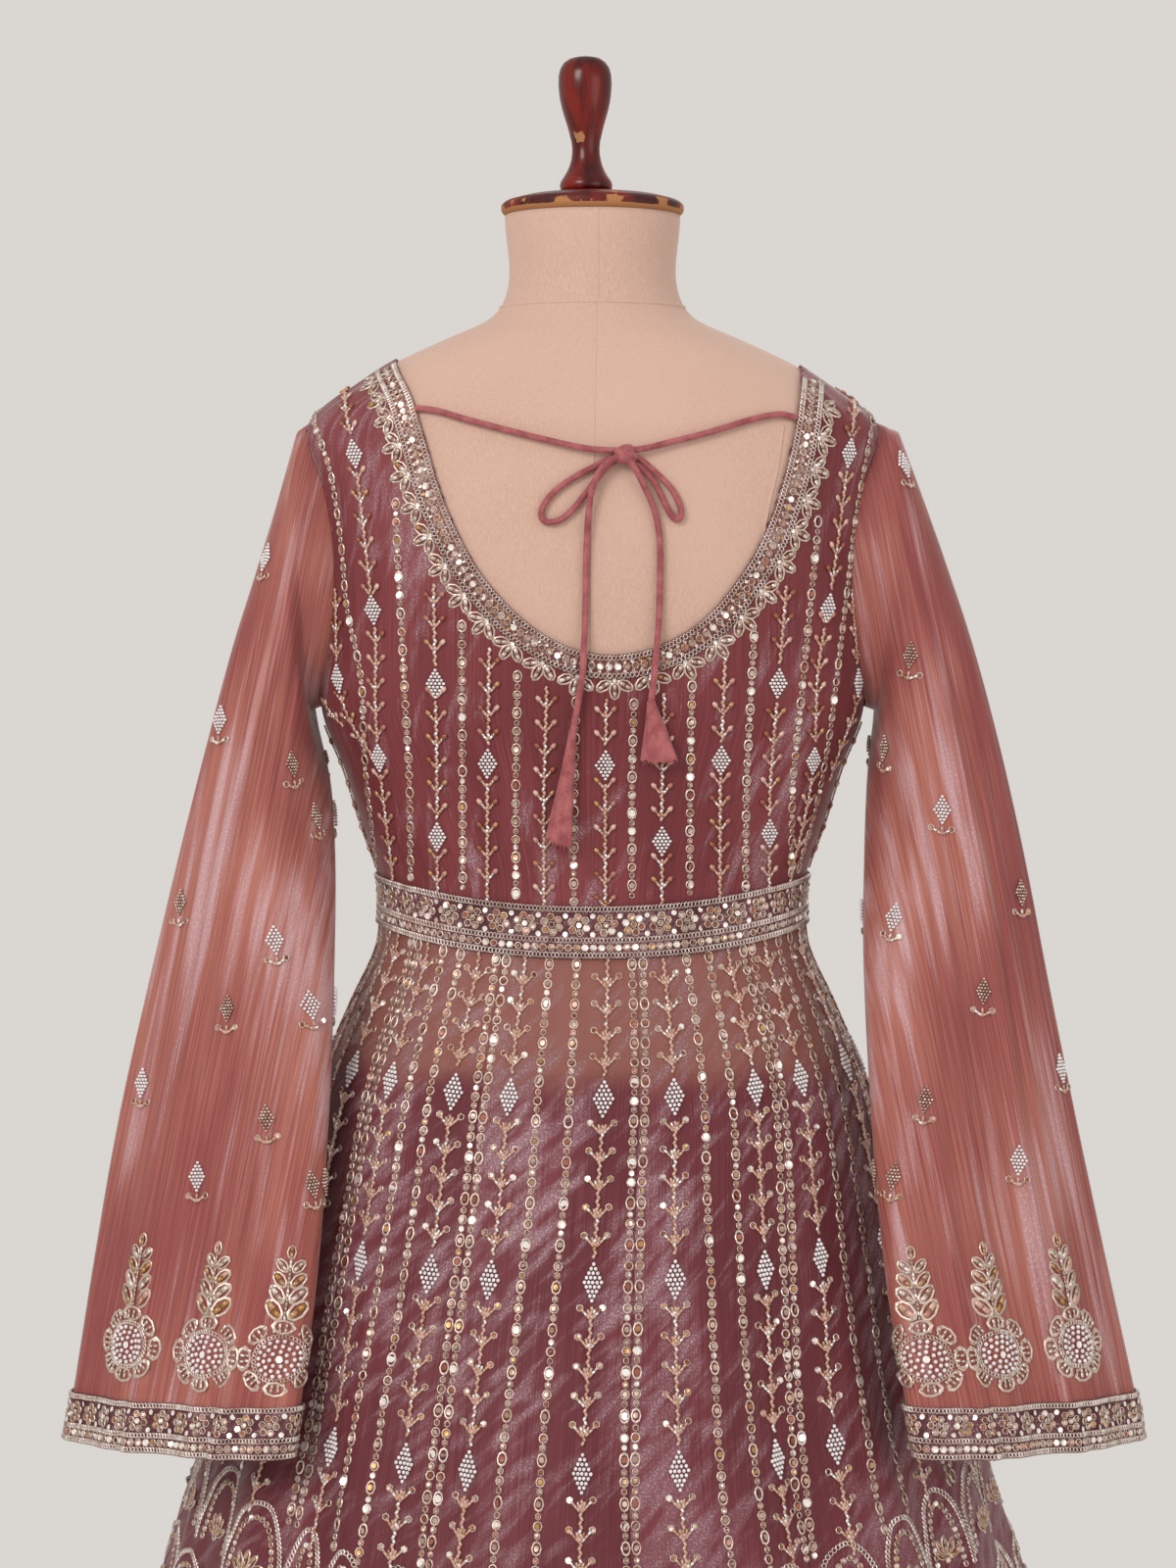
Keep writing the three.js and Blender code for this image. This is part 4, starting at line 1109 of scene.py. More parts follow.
def sleeve_surface(side, turn, row):
    turn, row = np.broadcast_arrays(np.asarray(turn, float), np.asarray(row, float))
    hang = read_sleeve(np.maximum(row - 1, 0))
    out_x, in_x = ("outLeft", "inLeft") if side < 0 else ("outRight", "inRight")
    outer = np.stack([side * hang[out_x], hang["outY"], hang["outZ"]], axis=-1)
    inner = np.stack([side * hang[in_x], hang["inY"], hang["inZ"]], axis=-1)
    spread, middle = (outer - inner) / 2, (outer + inner) / 2
    flat = spread * [1, 1, 0]
    flat /= np.linalg.norm(flat, axis=-1, keepdims=True)
    backwards = np.stack([side * flat[..., 1], -side * flat[..., 0], 0 * row], axis=-1)
    upright = (1 - smooth(row, 1, 4))[..., None]
    backwards = backwards * (1 - upright) + np.array([0.0, -1.0, 0.0]) * upright
    backwards /= np.linalg.norm(backwards, axis=-1, keepdims=True)
    fall = (row - 1) / (sleeve_last - 1)
    depth = hang["depth"]
    for fold in sleeve_fold_rows:
        away = (turn - fold["turn"] + 180) % 360 - 180
        depth = depth - fold["depth"] * np.exp(-((away / fold["width"]) ** 2)) * smooth(fall, 0.12, 0.45)
    for crease in sleeve_crease_rows:
        drift = crease["turn"] + 7 * np.sin(fall * 3 + crease["turn"])
        away = (turn - drift + 180) % 360 - 180
        grown = smooth(fall, crease["start"], crease["start"] + 0.3)
        depth = depth - crease["depth"] * np.exp(-((away / crease["width"]) ** 2)) * grown
    cosine, sine = np.cos(np.radians(turn)), np.sin(np.radians(turn))
    hung = middle + spread * cosine[..., None] + backwards * (depth * sine)[..., None]
    seam = armhole_seam(side, turn)
    below = np.clip(row, 0, 1)[..., None]
    return np.where(row[..., None] < 1, seam + (hung - seam) * below, hung)


def sleeve_lifted(side, turn, row, lift):
    across = sleeve_surface(side, turn + 2, row) - sleeve_surface(side, turn - 2, row)
    after = np.minimum(row + 0.2, sleeve_last)
    before = np.where(row <= 1, row, row - 0.2)
    along = sleeve_surface(side, turn, after) - sleeve_surface(side, turn, before)
    normal = np.cross(along, across)
    normal /= np.maximum(np.linalg.norm(normal, axis=-1, keepdims=True), 1e-9)
    return sleeve_surface(side, turn, row) - normal * side * lift


sides = [("left", -1), ("right", 1)]
sleeve_lean = -0.19
sleeve_pieces = {}
for side_name, side in sides:

    def bell(u, v, side=side):
        return sleeve_lifted(side, side * u * 360, (1 - v) * sleeve_last, 0.2)

    name = "sleeve_cloth_" + side_name
    mesh = cloth_grid(name, 150, 150, bell, closed=True, cut=(0.36, 0.66))
    # its third colour is the lilac of the painted sheen
    sleeve_finish = organza_finish(
        "rose_organza_" + side_name, "#984849", "#c07869", "#c7a3ab", (0.66, 0.66, 0.86), 0.3,
        streak=(0.2, 0.007), slant=0, sheen_range=(0.5, 0.68), lean=sleeve_lean * side,
    )
    piece = dress_piece(name, mesh, sleeve_finish, ["sleeve_" + side_name])
    give_wall(piece, 0.0005)
    sleeve_pieces[side_name] = piece

# --- Neck borders ---------------------------------------------------------------------------
# A band of metal-thread work follows the neckline: two rows of chain stitch with a row of
# sequins between them, and three-petalled leaves of beads in thread outlines along its outer
# edge. All bead work from here on is built from a few small shapes, laid one by one.
bead_finish = Finish("bead_and_zari_work", {"IOR": 1.5})
bead_tone = bead_finish.node("ShaderNodeAttribute", {"attribute_name": "tone"}, output=2)
# the ramp runs from bronze through champagne to silver-white and pearl; its near-white at 0.8 and 0.87, laid
# on beads and sequins picked at random, is painted glint
bead_colour = bead_finish.node(
    "ShaderNodeValToRGB",
    {
        "stops": [
            (0.0, linear("#5f3426")),
            (0.10, linear("#a05f48")),
            (0.20, linear("#d8b3a5")),
            (0.30, linear("#b58650")),
            (0.42, linear("#b09588")),
            (0.58, linear("#ccb6a8")),
            (0.74, linear("#eee4df")),
            (0.88, linear("#fffaf6")),
            (0.93, linear("#dad5d8")),
            (1.0, linear("#f4f0f2")),
        ]
    },
    {0: bead_tone},
)
bead_place = bead_finish.node("ShaderNodeTexCoord", output=3)
bead_grain = bead_finish.noise(bead_place, 2600.0, 1.0)
bead_pearly = bead_finish.band(bead_tone, 0.89, 0.92)
bead_glass = 1.0 - bead_finish.band(bead_tone, 0.24, 0.3)
bead_finish.put({
    "Base Color": bead_colour,
    "Metallic": 0.7 - bead_pearly * 0.7 - bead_glass * 0.45,
    "Roughness": bead_grain * 0.16 + 0.22 + bead_pearly * 0.1,
})
bead_finish.bump(bead_grain, 0.2, 0.0003)


def taken_from(shape):
    """The corners and the triangles of a small shape, as arrays."""
    bmesh.ops.triangulate(shape, faces=shape.faces)
    shape.verts.index_update()
    corners = np.array([vert.co[:] for vert in shape.verts])
    faces = np.array([[vert.index for vert in face.verts] for face in shape.faces])
    shape.free()
    return corners, faces


def bead_shape(segments, rim, crown=None):
    """Corners and triangles of a round piece of radius 1 whose edge is at the height rim.

    With a crown it is an open ring with a ridge of that height, and otherwise a cupped disc.
    """
    shape = bmesh.new()
    if crown is None:
        bmesh.ops.create_circle(shape, cap_ends=True, cap_tris=True, segments=segments, radius=1)
        for vert in shape.verts:
            vert.co.z = rim if vert.co.length > 0.5 else 0.02
    else:
        bmesh.ops.create_cone(shape, segments=segments, radius1=1, radius2=0.84, depth=crown)
        bmesh.ops.translate(shape, verts=shape.verts, vec=(0, 0, crown / 2 + rim))
        ridge = [edge for edge in shape.edges if all(vert.co.z > crown / 2 for vert in edge.verts)]
        for part in bmesh.ops.extrude_edge_only(shape, edges=ridge)["geom"]:
            if isinstance(part, bmesh.types.BMVert):
                part.co = (part.co.x * 0.79, part.co.y * 0.79, rim)
    return taken_from(shape)


def solid_bead(kind):
    """A glass bugle bead of length 2 that lies along y, or a pearl of radius 1."""
    shape = bmesh.new()
    if kind == "bugle":
        bmesh.ops.create_cube(shape, size=2)
        bmesh.ops.scale(shape, verts=shape.verts, vec=(0.8, 1, 0.55))
        bmesh.ops.translate(shape, verts=shape.verts, vec=(0, 0, 0.65))
    else:
        bmesh.ops.create_icosphere(shape, subdivisions=1, radius=1)
        bmesh.ops.translate(shape, verts=shape.verts, vec=(0, 0, 0.75))
    return taken_from(shape)


shapes = {
    "ring": bead_shape(8, 0.0, 0.9),
    "small_ring": bead_shape(6, 0.0, 0.9),
    "sequin": bead_shape(7, 0.22),
    "bugle": solid_bead("bugle"),
    "pearl": solid_bead("pearl"),
}


class BeadWork:
    """Beads, sequins and thread rings gathered up and then sewn down as one piece."""

    def __init__(self, seed):
        self.corners, self.faces, self.tones, self.count = [], [], [], 0
        self.chance = np.random.default_rng(seed)

    def lay(self, shape, spots, ahead, out, size, tone, tilt=0.0):
        """One shape at each spot, along ahead and facing out, all in millimetres."""
        spots = np.atleast_2d(spots).astype(float)
        many = len(spots)
        ahead = np.broadcast_to(np.atleast_2d(ahead), (many, 3))
        out = np.broadcast_to(np.atleast_2d(out), (many, 3))
        out = out / np.linalg.norm(out, axis=1, keepdims=True)
        if tilt:
            out = out + self.chance.normal(0, tilt, (many, 3))
            out /= np.linalg.norm(out, axis=1, keepdims=True)
        across = np.cross(ahead, out)
        across /= np.linalg.norm(across, axis=1, keepdims=True)
        along = np.cross(out, across)
        frame_axes = np.stack([across, along, out], axis=1)
        size = np.broadcast_to(np.atleast_2d(size), (many, 3))
        corners, faces = shapes[shape]
        placed = np.einsum("nci,nij->ncj", corners[None] * size[:, None, :], frame_axes) + spots[:, None, :]
        self.corners.append(placed.reshape(-1, 3))
        shifts = self.count + np.arange(many) * len(corners)
        self.faces.append((faces[None] + shifts[:, None, None]).reshape(-1, 3))
        tone = np.broadcast_to(np.atleast_1d(tone), (many,))
        self.tones.append(np.repeat(tone, len(corners)))
        self.count += many * len(corners)

    def sewn(self, name):
        corners = np.vstack(self.corners) / 1000
        faces = np.vstack(self.faces)
        mesh = bpy.data.meshes.new(name)
        mesh.vertices.add(len(corners))
        mesh.vertices.foreach_set("co", corners.ravel())
        mesh.loops.add(faces.size)
        mesh.loops.foreach_set("vertex_index", faces.ravel())
        mesh.polygons.add(len(faces))
        mesh.polygons.foreach_set("loop_start", np.arange(len(faces)) * 3)
        mesh.polygons.foreach_set("loop_total", np.full(len(faces), 3))
        mesh.update(calc_edges=True)
        tone = mesh.attributes.new("tone", "FLOAT", "POINT")
        tone.data.foreach_set("value", np.concatenate(self.tones))
        return dress_piece(name, mesh, bead_finish)


class Course:
    """A way over the cloth: place(distance along it, offset to its right) gives its spots."""

    def __init__(self, place, length=0.0, told=None):
        self.place, self.length, self.told = place, length, told

    def at(self, distance, offset=0.0):
        """Spots on the cloth, the way ahead there and the way out of the cloth."""
        distance, offset = np.broadcast_arrays(np.asarray(distance, float), np.asarray(offset, float))
        ahead = self.place(distance + 0.8, offset) - self.place(distance - 0.8, offset)
        right = self.place(distance, offset + 0.8) - self.place(distance, offset - 0.8)
        out = np.cross(right, ahead)
        return self.place(distance, offset), ahead, out / np.linalg.norm(out, axis=-1, keepdims=True)


def measured(place, samples=300):
    """A course whose place takes a share of its way, 0 to 1, told off in millimetres.

    told turns such a share into the distance gone there.
    """
    shares = np.linspace(0, 1, samples)
    steps = np.linalg.norm(np.diff(place(shares, 0 * shares), axis=0), axis=1)
    gone = np.concatenate([[0], np.cumsum(steps)])
    return Course(
        lambda distance, offset: place(np.interp(distance, gone, shares), offset),
        gone[-1],
        lambda share: float(np.interp(share, shares, gone)),
    )


def chain_row(work, course, offset=0.0, width=4.2, pitch=2.5, tone=0.68):
    """A row of chain stitch: a string of thread loops with their holes showing."""
    distance = np.arange(pitch / 2, course.length, pitch)
    spots, ahead, out = course.at(distance, offset)
    tones = np.clip(tone + work.chance.normal(0, 0.06, len(distance)), 0.5, 0.84)
    work.lay("small_ring", spots, ahead, out, (width / 2, pitch * 0.62, 1.3), tones)


def sequins(work, spots, ahead, out, half_long, half_wide, gold=0.16, painted_glint_share=0.2):
    """Sequins, each held in a ring of thread. A few are gold, and a share of them is painted near white and a
    little larger, a painted glint.
    """
    many = len(spots)
    half_long = np.broadcast_to(np.asarray(half_long, float), (many,))
    half_wide = np.broadcast_to(np.asarray(half_wide, float), (many,))
    large = half_long > 2.9
    for shape, which in (("ring", large), ("small_ring", ~large)):
        if which.any():
            size = np.stack([half_wide[which], half_long[which], np.full(which.sum(), 1.0)], axis=1)
            tones = work.chance.uniform(0.5, 0.66, which.sum())
            work.lay(shape, spots[which], ahead[which], out[which], size, tones)
    luck = work.chance.random(many)
    tones = work.chance.uniform(0.36, 0.6, many)
    tones = np.where(luck < gold, work.chance.choice([0.05, 0.1, 0.15, 0.29], many), tones)
    # painted glints: a share of the sequins is painted near white and made larger
    tones = np.where(luck > 1 - painted_glint_share, 0.87, tones)
    disc = np.stack([half_wide * 0.56, half_wide * 0.6, np.full(many, 1.2)], axis=1)
    disc[luck > 1 - painted_glint_share] *= 1.3
    work.lay("sequin", spots + out * 0.35, ahead, out, disc, tones, 0.3)


def sequin_row(work, course, plan, offset=0.0, gold=0.3, painted_glint_share=0.12):
    """Sequins edge to edge back from a course's end. plan has their half lengths and widths."""
    distance, rows = course.length, []
    while distance > 0:
        for half_long, half_wide in plan:
            rows.append((distance - half_long, half_long, half_wide))
            distance -= 2 * half_long
    rows = np.array([row for row in rows if row[0] > row[1] - 0.5])
    spots, ahead, out = course.at(rows[:, 0], offset)
    sequins(work, spots, ahead, out, rows[:, 1], rows[:, 2], gold, painted_glint_share)


def turned_in_cloth(ahead, out, degrees):
    """A direction turned about the cloth's outward one; positive is to the right."""
    out = out / np.linalg.norm(out, axis=-1, keepdims=True)
    ahead = ahead - out * (ahead * out).sum(axis=-1, keepdims=True)
    ahead = ahead / np.linalg.norm(ahead, axis=-1, keepdims=True)
    right = np.cross(ahead, out)
    angle = math.radians(degrees)
    return ahead * math.cos(angle) + right * math.sin(angle)


def bead_tones(work, tone, many):
    """Glass beads near one tone, with one in six painted near white as a painted glint."""
    tones = np.clip(tone + work.chance.normal(0, 0.03, many), 0.04, 0.88)
    # one bead in six is painted near white, a painted glint
    return np.where(work.chance.random(many) < 0.17, 0.8, tones)


def bead_arm(work, course, distance, offset, degrees, beads, tone, size=(0.95, 1.35), foot=0.6):
    """Bugle beads end to end from a point of the course, leaning by degrees."""
    distance, offset = np.broadcast_arrays(np.atleast_1d(np.asarray(distance, float)), offset)
    step = size[1] * 2 + 0.1
    for bead in range(beads):
        reach = foot + (bead + 0.5) * step
        along = distance + reach * math.cos(math.radians(degrees))
        beside = offset + reach * math.sin(math.radians(degrees))
        spots, ahead, out = course.at(along, beside)
        tones = bead_tones(work, tone, len(spots))
        work.lay("bugle", spots, turned_in_cloth(ahead, out, degrees), out, (*size, 0.95), tones)


def petal_ring(work, course, distance, offset, degrees, reach, size, tone=0.55, beads=2):
    """A thread-outlined petal of that size, its foot at the point, with bugle beads in it."""
    distance, offset = np.broadcast_arrays(np.atleast_1d(np.asarray(distance, float)), offset)
    lean = math.radians(degrees)
    along = distance + (reach + size[0]) * math.cos(lean)
    beside = offset + (reach + size[0]) * math.sin(lean)
    spots, ahead, out = course.at(along, beside)
    ahead = turned_in_cloth(ahead, out, degrees)
    work.lay("ring", spots, ahead, out, (size[1], size[0], 1.0), 0.6)
    room = size[0] * 1.5 / max(beads, 1)
    for bead in range(beads):
        shift = (bead - (beads - 1) / 2) * room
        tones = np.clip(tone + work.chance.normal(0, 0.09, len(spots)), 0.1, 0.9)
        work.lay("bugle", spots + ahead * shift, ahead, out, (size[1] * 0.4, room * 0.46, 1.1), tones)


def leaf(work, course, distance, offset, degrees, size=(6.3, 3.9)):
    """A leaf of three petals spreading from one point."""
    for lean, share in ((-54, 0.96), (0, 1.0), (54, 0.96)):
        petal_ring(work, course, distance, offset, degrees + lean, 0.8, (size[0] * share, size[1]))


# its third colour is that of the painted sheen
border_finish = organza_finish("border_ground", "#5d3230", "#7c4a44", "#93706a", close_cloth, 0.1)
border_width = 14.5
border_lift = bodice_clear + bodice_wall + 0.3


def neck_course(side, lift):
    """The neckline from shoulder to shoulder, with the garment on its right seen from outside."""
    front = side == "front"
    line = neck_lines[side][::-1] if front else neck_lines[side]
    ahead = np.gradient(line, axis=0)
    ahead /= np.linalg.norm(ahead, axis=1, keepdims=True)
    beside = np.stack([ahead[:, 1], -ahead[:, 0]], axis=1) * (-1 if front else 1)
    outer = line + beside * border_width
    on_form = (outer[:, 1] < 1425) & (read_form(outer[:, 1])["half"] - np.abs(outer[:, 0]) > 5)
    first, last = np.flatnonzero(on_form)[[0, -1]]
    rows = np.arange(len(line))

    def place(share, offset):
        row = first + share * (last - first)
        x = np.interp(row, rows, line[:, 0]) + np.interp(row, rows, beside[:, 0]) * offset
        z = np.interp(row, rows, line[:, 1]) + np.interp(row, rows, beside[:, 1]) * offset
        return lifted(form_surface, form_turn(x, z, front), z, lift + 0 * z)

    return measured(place)


for side in ("back", "front"):
    course = neck_course(side, border_lift)

    def ground(u, v, course=course):
        spots, _, out = course.at(v * course.length, u * (border_width + 1.2) - 1.2)
        return spots + out * (1.0 - 0.7 * np.abs(2 * u - 1) ** 4)[:, None]

    name = "neck_border_" + side + "_ground"
    mesh = cloth_grid(name, 8, 360, ground, cut=(border_width / 1000, course.length / 1000))
    piece = dress_piece(name, mesh, border_finish, ["neck_border_" + side])
    give_wall(piece, 0.0009)
    top = neck_course(side, border_lift + 0.9)
    work = BeadWork(11 if side == "back" else 12)
    for offset in (1.0, 12.4):
        chain_row(work, top, offset)
    for offset in (3.9, 9.6):
        spots, ahead, out = top.at(np.arange(3, top.length - 2, 4.9), offset)
        work.lay("sequin", spots, ahead, out, (1.1, 1.1, 1.4), work.chance.uniform(0.3, 0.8, len(spots)), 0.2)
    sequin_row(work, top, [(2.6, 2.6)], offset=6.7, gold=0.14, painted_glint_share=0.35)
    # the leaves stand off the border's edge and droop a little
    low = neck_course(side, border_lift - 0.1)
    spots = np.arange(10, low.length - 8, 20.0)
    leaf(work, low, spots, border_width + 0.4, 90)
    places, ahead, out = low.at(spots, border_width + 0.6)
    work.lay("sequin", places, ahead, out, (1.5, 1.5, 1.6), 0.8, 0.1)
    work.sewn("neck_border_" + side + "_work")

# --- Belt -----------------------------------------------------------------------------------
# A band of the same metal-thread work is sewn over the waist seam. From its top: chain stitch,
# flowers of ringed sequins on a dark ground, double chain, a row of large bright sequins, chain.
belt_height, belt_wall = 34.0, 1.3
band_rows = {"top_chain": 14.9, "flowers": 4.6, "middle_chain": -5.3, "sequins": -10.2, "low_chain": -15.0}


def belt_surface(turn, height, lift):
    """The belt lies on whichever stands further out, the bodice or the top of the skirt."""
    z = waist_seam(turn) + height
    on_bodice = lifted(form_surface, turn, z, bodice_clear + bodice_wall + lift + 0 * z)
    on_skirt = lifted(skirt_surface, turn, z, 0.9 + lift + 0 * z)
    further = np.hypot(on_skirt[..., 0], on_skirt[..., 1]) > np.hypot(on_bodice[..., 0], on_bodice[..., 1])
    return np.where(further[..., None], on_skirt, on_bodice)


def flower(work, course, distance, offset, petals, reach, size, gold=0.4):
    """Flowers of ringed sequins round a middle one."""
    distance = np.atleast_1d(np.asarray(distance, float))
    turned = work.chance.uniform(0, 2 * math.pi, len(distance))
    for index in range(petals):
        angle = turned + 2 * math.pi * index / petals
        spots, ahead, out = course.at(distance + reach * np.cos(angle), offset + reach * np.sin(angle))
        sequins(work, spots, ahead, out, size, size, gold, 0.1)
    spots, ahead, out = course.at(distance, offset)
    sequins(work, spots + out * 0.5, ahead, out, size * 0.8, size * 0.8, 0.1, 0.3)


def band_work(work, course, scale=1.0):
    """The whole band's stitch work, on a course along its middle."""
    for name in ("top_chain", "middle_chain", "low_chain"):
        chain_row(work, course, -band_rows[name] * scale, width=4.4 * scale, pitch=2.4)
    count = round(course.length / 17.6)
    flowers = (np.arange(count) + 0.5) * course.length / count
    flower(work, course, flowers, -band_rows["flowers"] * scale, 6, 5.2 * scale, 2.8 * scale)
    between = (flowers + course.length / count / 2) % course.length
    for height in (10.6, -1.6):
        spots, ahead, out = course.at(between, -height * scale)
        work.lay("sequin", spots, ahead, out, (1.8, 1.8, 1.6), 0.8, 0.15)
    sequin_row(work, course, [(2.7, 2.6)], offset=-band_rows["sequins"] * scale, gold=0.12, painted_glint_share=0.5)


# its third colour is that of the painted sheen
band_finish = organza_finish("band_ground", "#43171f", "#5c2830", "#704048", close_cloth, 0.1)


def belt_ground(u, v):
    crown = 0.7 - 0.5 * np.abs(2 * v - 1) ** 6
    return belt_surface(u * 360 - 180, belt_height * (v - 0.5), belt_wall + crown)


belt_mesh = cloth_grid("belt_ground", 200, 14, belt_ground, closed=True, cut=(0.79, 0.034))
belt_ground_piece = dress_piece("belt_ground", belt_mesh, band_finish, ["belt"])
give_wall(belt_ground_piece, 0.0012)
belt_work = BeadWork(21)
belt_course = measured(lambda share, offset: belt_surface(share * 360 - 180, -offset, belt_wall + 0.8))
band_work(belt_work, belt_course)
belt_work.sewn("belt_work")

# --- Bodice bead work -----------------------------------------------------------------------
# Upright lines of ringed sequins divide the bodice, and between them climb vines of slanted
# bugle beads with paired sprigs, broken by small diamonds of white pearls.
bodice_plan = [(4.4, 3.3), (2.1, 2.0), (3.1, 3.0), (2.1, 2.0)]
bodice_lines = table(
    ("low", "high"),
    (-117, -125), (-83, -83), (-49, -46), (-12, -7), (25, 29), (62, 65), (98, 106), (128, 144),
)
bodice_vines = table(
    ("low", "high", "diamonds"),
    (-99, -101, (1115, 1214)),
    (-67, -64, (1163,)),
    (-31, -26, ()),
    (8, 10, (1162,)),
    (44, 48, (1113,)),
    (81, 87, (1165,)),
    (113, 126, (1117, 1214)),
)
# the curved lines that run from the shoulders past the armholes to the waist
shoulder_lines = table(
    ("xs", "zs"),
    (
        (-183, -168, -160, -158, -151, -147, -147, -140),
        (1390, 1355, 1300, 1262, 1235, 1213, 1166, 1090),
    ),
    (
        (182, 174, 168, 163, 156, 151, 145, 131),
        (1391, 1351, 1318, 1273, 1214, 1170, 1134, 1090),
    ),
)
shoulder_vines = table(
    ("xs", "zs", "diamonds"),
    (
        (-161, -151, -144, -140, -137, -139, -137, -128),
        (1404, 1361, 1301, 1263, 1240, 1210, 1166, 1090),
        (1166, 1261, 1361),
    ),
    (
        (170, 163, 156, 150, 143, 142, 138, 126),
        (1404, 1360, 1304, 1262, 1224, 1164, 1134, 1090),
        (1164, 1262, 1362),
    ),
)
# short vines round the sides, told by their turns from the middle of the back
side_vines = table(
    ("turns", "zs", "diamonds"),
    ((-66, -64, -59, -54), (1275, 1216, 1191, 1167), (1216,)),
    ((-78, -72, -63), (1203, 1197, 1186), ()),
    ((-86, -84), (1186, 1091), ()),
    ((67, 72, 68, 70), (1275, 1213, 1182, 1150), (1213,)),
    ((86, 84), (1188, 1091), ()),
)
line_top, line_foot = 1322.0, 1149.0


def bodice_course(xs, zs, front, turned=False):
    """An upright course on the bodice through these X, or turns, each at its own height in zs."""
    order = np.argsort(zs)
    xs, zs = np.asarray(xs, float)[order], np.asarray(zs, float)[order]
    heights = np.linspace(zs[0], zs[-1], 60)
    across = np.interp(heights, zs, xs)
    across = np.convolve(np.pad(across, 3, mode="edge"), np.ones(7) / 7, mode="valid")
    turns = across if turned else form_turn(across, heights, front)
    per_turn = np.linalg.norm(form_surface(turns + 0.5, heights) - form_surface(turns - 0.5, heights), axis=1)

    def place(share, offset):
        z = zs[0] + share * (zs[-1] - zs[0])
        turn = np.interp(z, heights, turns) + offset / np.interp(z, heights, per_turn)
        return lifted(form_surface, turn, z, bodice_clear + bodice_wall + 0.2 + 0 * z)

    return measured(place)


def free_height(xs, zs, side, room):
    """How high the bodice's cloth reaches on such a course before the neck or an armhole."""
    order = np.argsort(zs)
    low, high = min(zs), max(zs)
    z = np.arange(low, high, 1.5)
    x = np.interp(z, np.asarray(zs, float)[order], np.asarray(xs, float)[order])
    y = form_surface(form_turn(x, z, side == "front"), z)[:, 1]
    shut = (inside_neck(side, x, z) > -room) | (inside_armhole(y, z) > -3)
    return float(z[shut.argmax()]) if shut.any() else high


def belt_edge(x, front):
    """Where the belt's upper edge crosses a course that comes down at x."""
    turn = form_turn(np.array(float(x)), np.array(1080.0), front)
    return float(waist_seam(turn)) + belt_height / 2 - 1.0


# pearls in each row of a diamond
diamond_rows = (1, 2, 3, 4, 5, 4, 3, 2, 1)


def diamond(work, course, distance, wide=13.2, tall=19.6, tones=(0.94, 1.0)):
    """Diamonds of pearls sewn on in rows."""
    distance = np.atleast_1d(np.asarray(distance, float))
    step, rise = wide / max(diamond_rows), tall / len(diamond_rows)
    for row, count in enumerate(diamond_rows):
        height = (row - len(diamond_rows) // 2) * rise
        for index in range(count):
            beside = (index - (count - 1) / 2) * step
            spots, ahead, out = course.at(distance + height, beside + 0 * distance)
            size = (step * 0.47, rise * 0.5, 1.3)
            work.lay("pearl", spots, ahead, out, size, work.chance.uniform(*tones, len(spots)), 0.05)


def vine(work, course, start, end, sprigs, gaps, arms, tone=0.2, stem_pitch=2.5):
    """A stem of slanted bugle beads with paired sprigs, left open where the diamonds sit."""

    def clear(distance, room):
        free = np.ones(len(distance), bool)
        for middle in gaps:
            free &= np.abs(distance - middle) > room
        return distance[free & (distance < end)]

    stem = clear(np.arange(start, end, stem_pitch), arms[0]["clear"])
    for turned, shift in ((24, -0.35), (-24, 0.35)):
        half = stem[(0 if turned > 0 else 1) :: 2]
        spots, ahead, out = course.at(half, shift)
        tones = bead_tones(work, tone, len(half))
        work.lay("bugle", spots, turned_in_cloth(ahead, out, turned), out, (1.05, 1.35, 1.1), tones)
    forks = clear(np.asarray(sprigs, float), arms[0]["clear"] - 3)
    if not len(forks):
        return
    for arm in arms:
        for side in (-1, 1):
            degrees = side * arm["lean"]
            bead_arm(work, course, forks, side * 0.4, degrees, arm["beads"], tone, foot=arm["foot"])
            reach = arm["foot"] + arm["beads"] * 2.8 + 1.0
            lean = math.radians(arm["lean"])
            tips = forks + reach * math.cos(lean)
            spots, ahead, out = course.at(tips, side * (0.4 + reach * math.sin(lean)))
            if arm["tip"] == "bud":
                tones = work.chance.choice([0.08, 0.12, 0.15, 0.18, 0.2, 0.28], len(spots))
                ahead = turned_in_cloth(ahead, out, degrees)
                work.lay("pearl", spots, ahead, out, (1.9, 2.8, 1.3), tones)
            elif arm["tip"] == "sequin":
                sequins(work, spots, ahead, out, 2.5, 2.5, 0.5, 0.22)


bodice_arms = [{"lean": 40, "beads": 2, "foot": 0.8, "tip": "bud", "clear": 12.0}]
sprig_pitch = 15.2


def bodice_vine(work, course, low, top, diamonds):
    """A vine up a course from one height to another, with a diamond at each of these heights."""
    gaps = [course.told((z - low) / (top - low)) for z in diamonds if z < top - 12]
    start = gaps[0] % sprig_pitch if gaps else 7.0
    sprigs = np.arange(start, course.length - 6, sprig_pitch)
    vine(work, course, 1.0, course.length, sprigs, gaps, bodice_arms)
    if gaps:
        diamond(work, course, gaps)


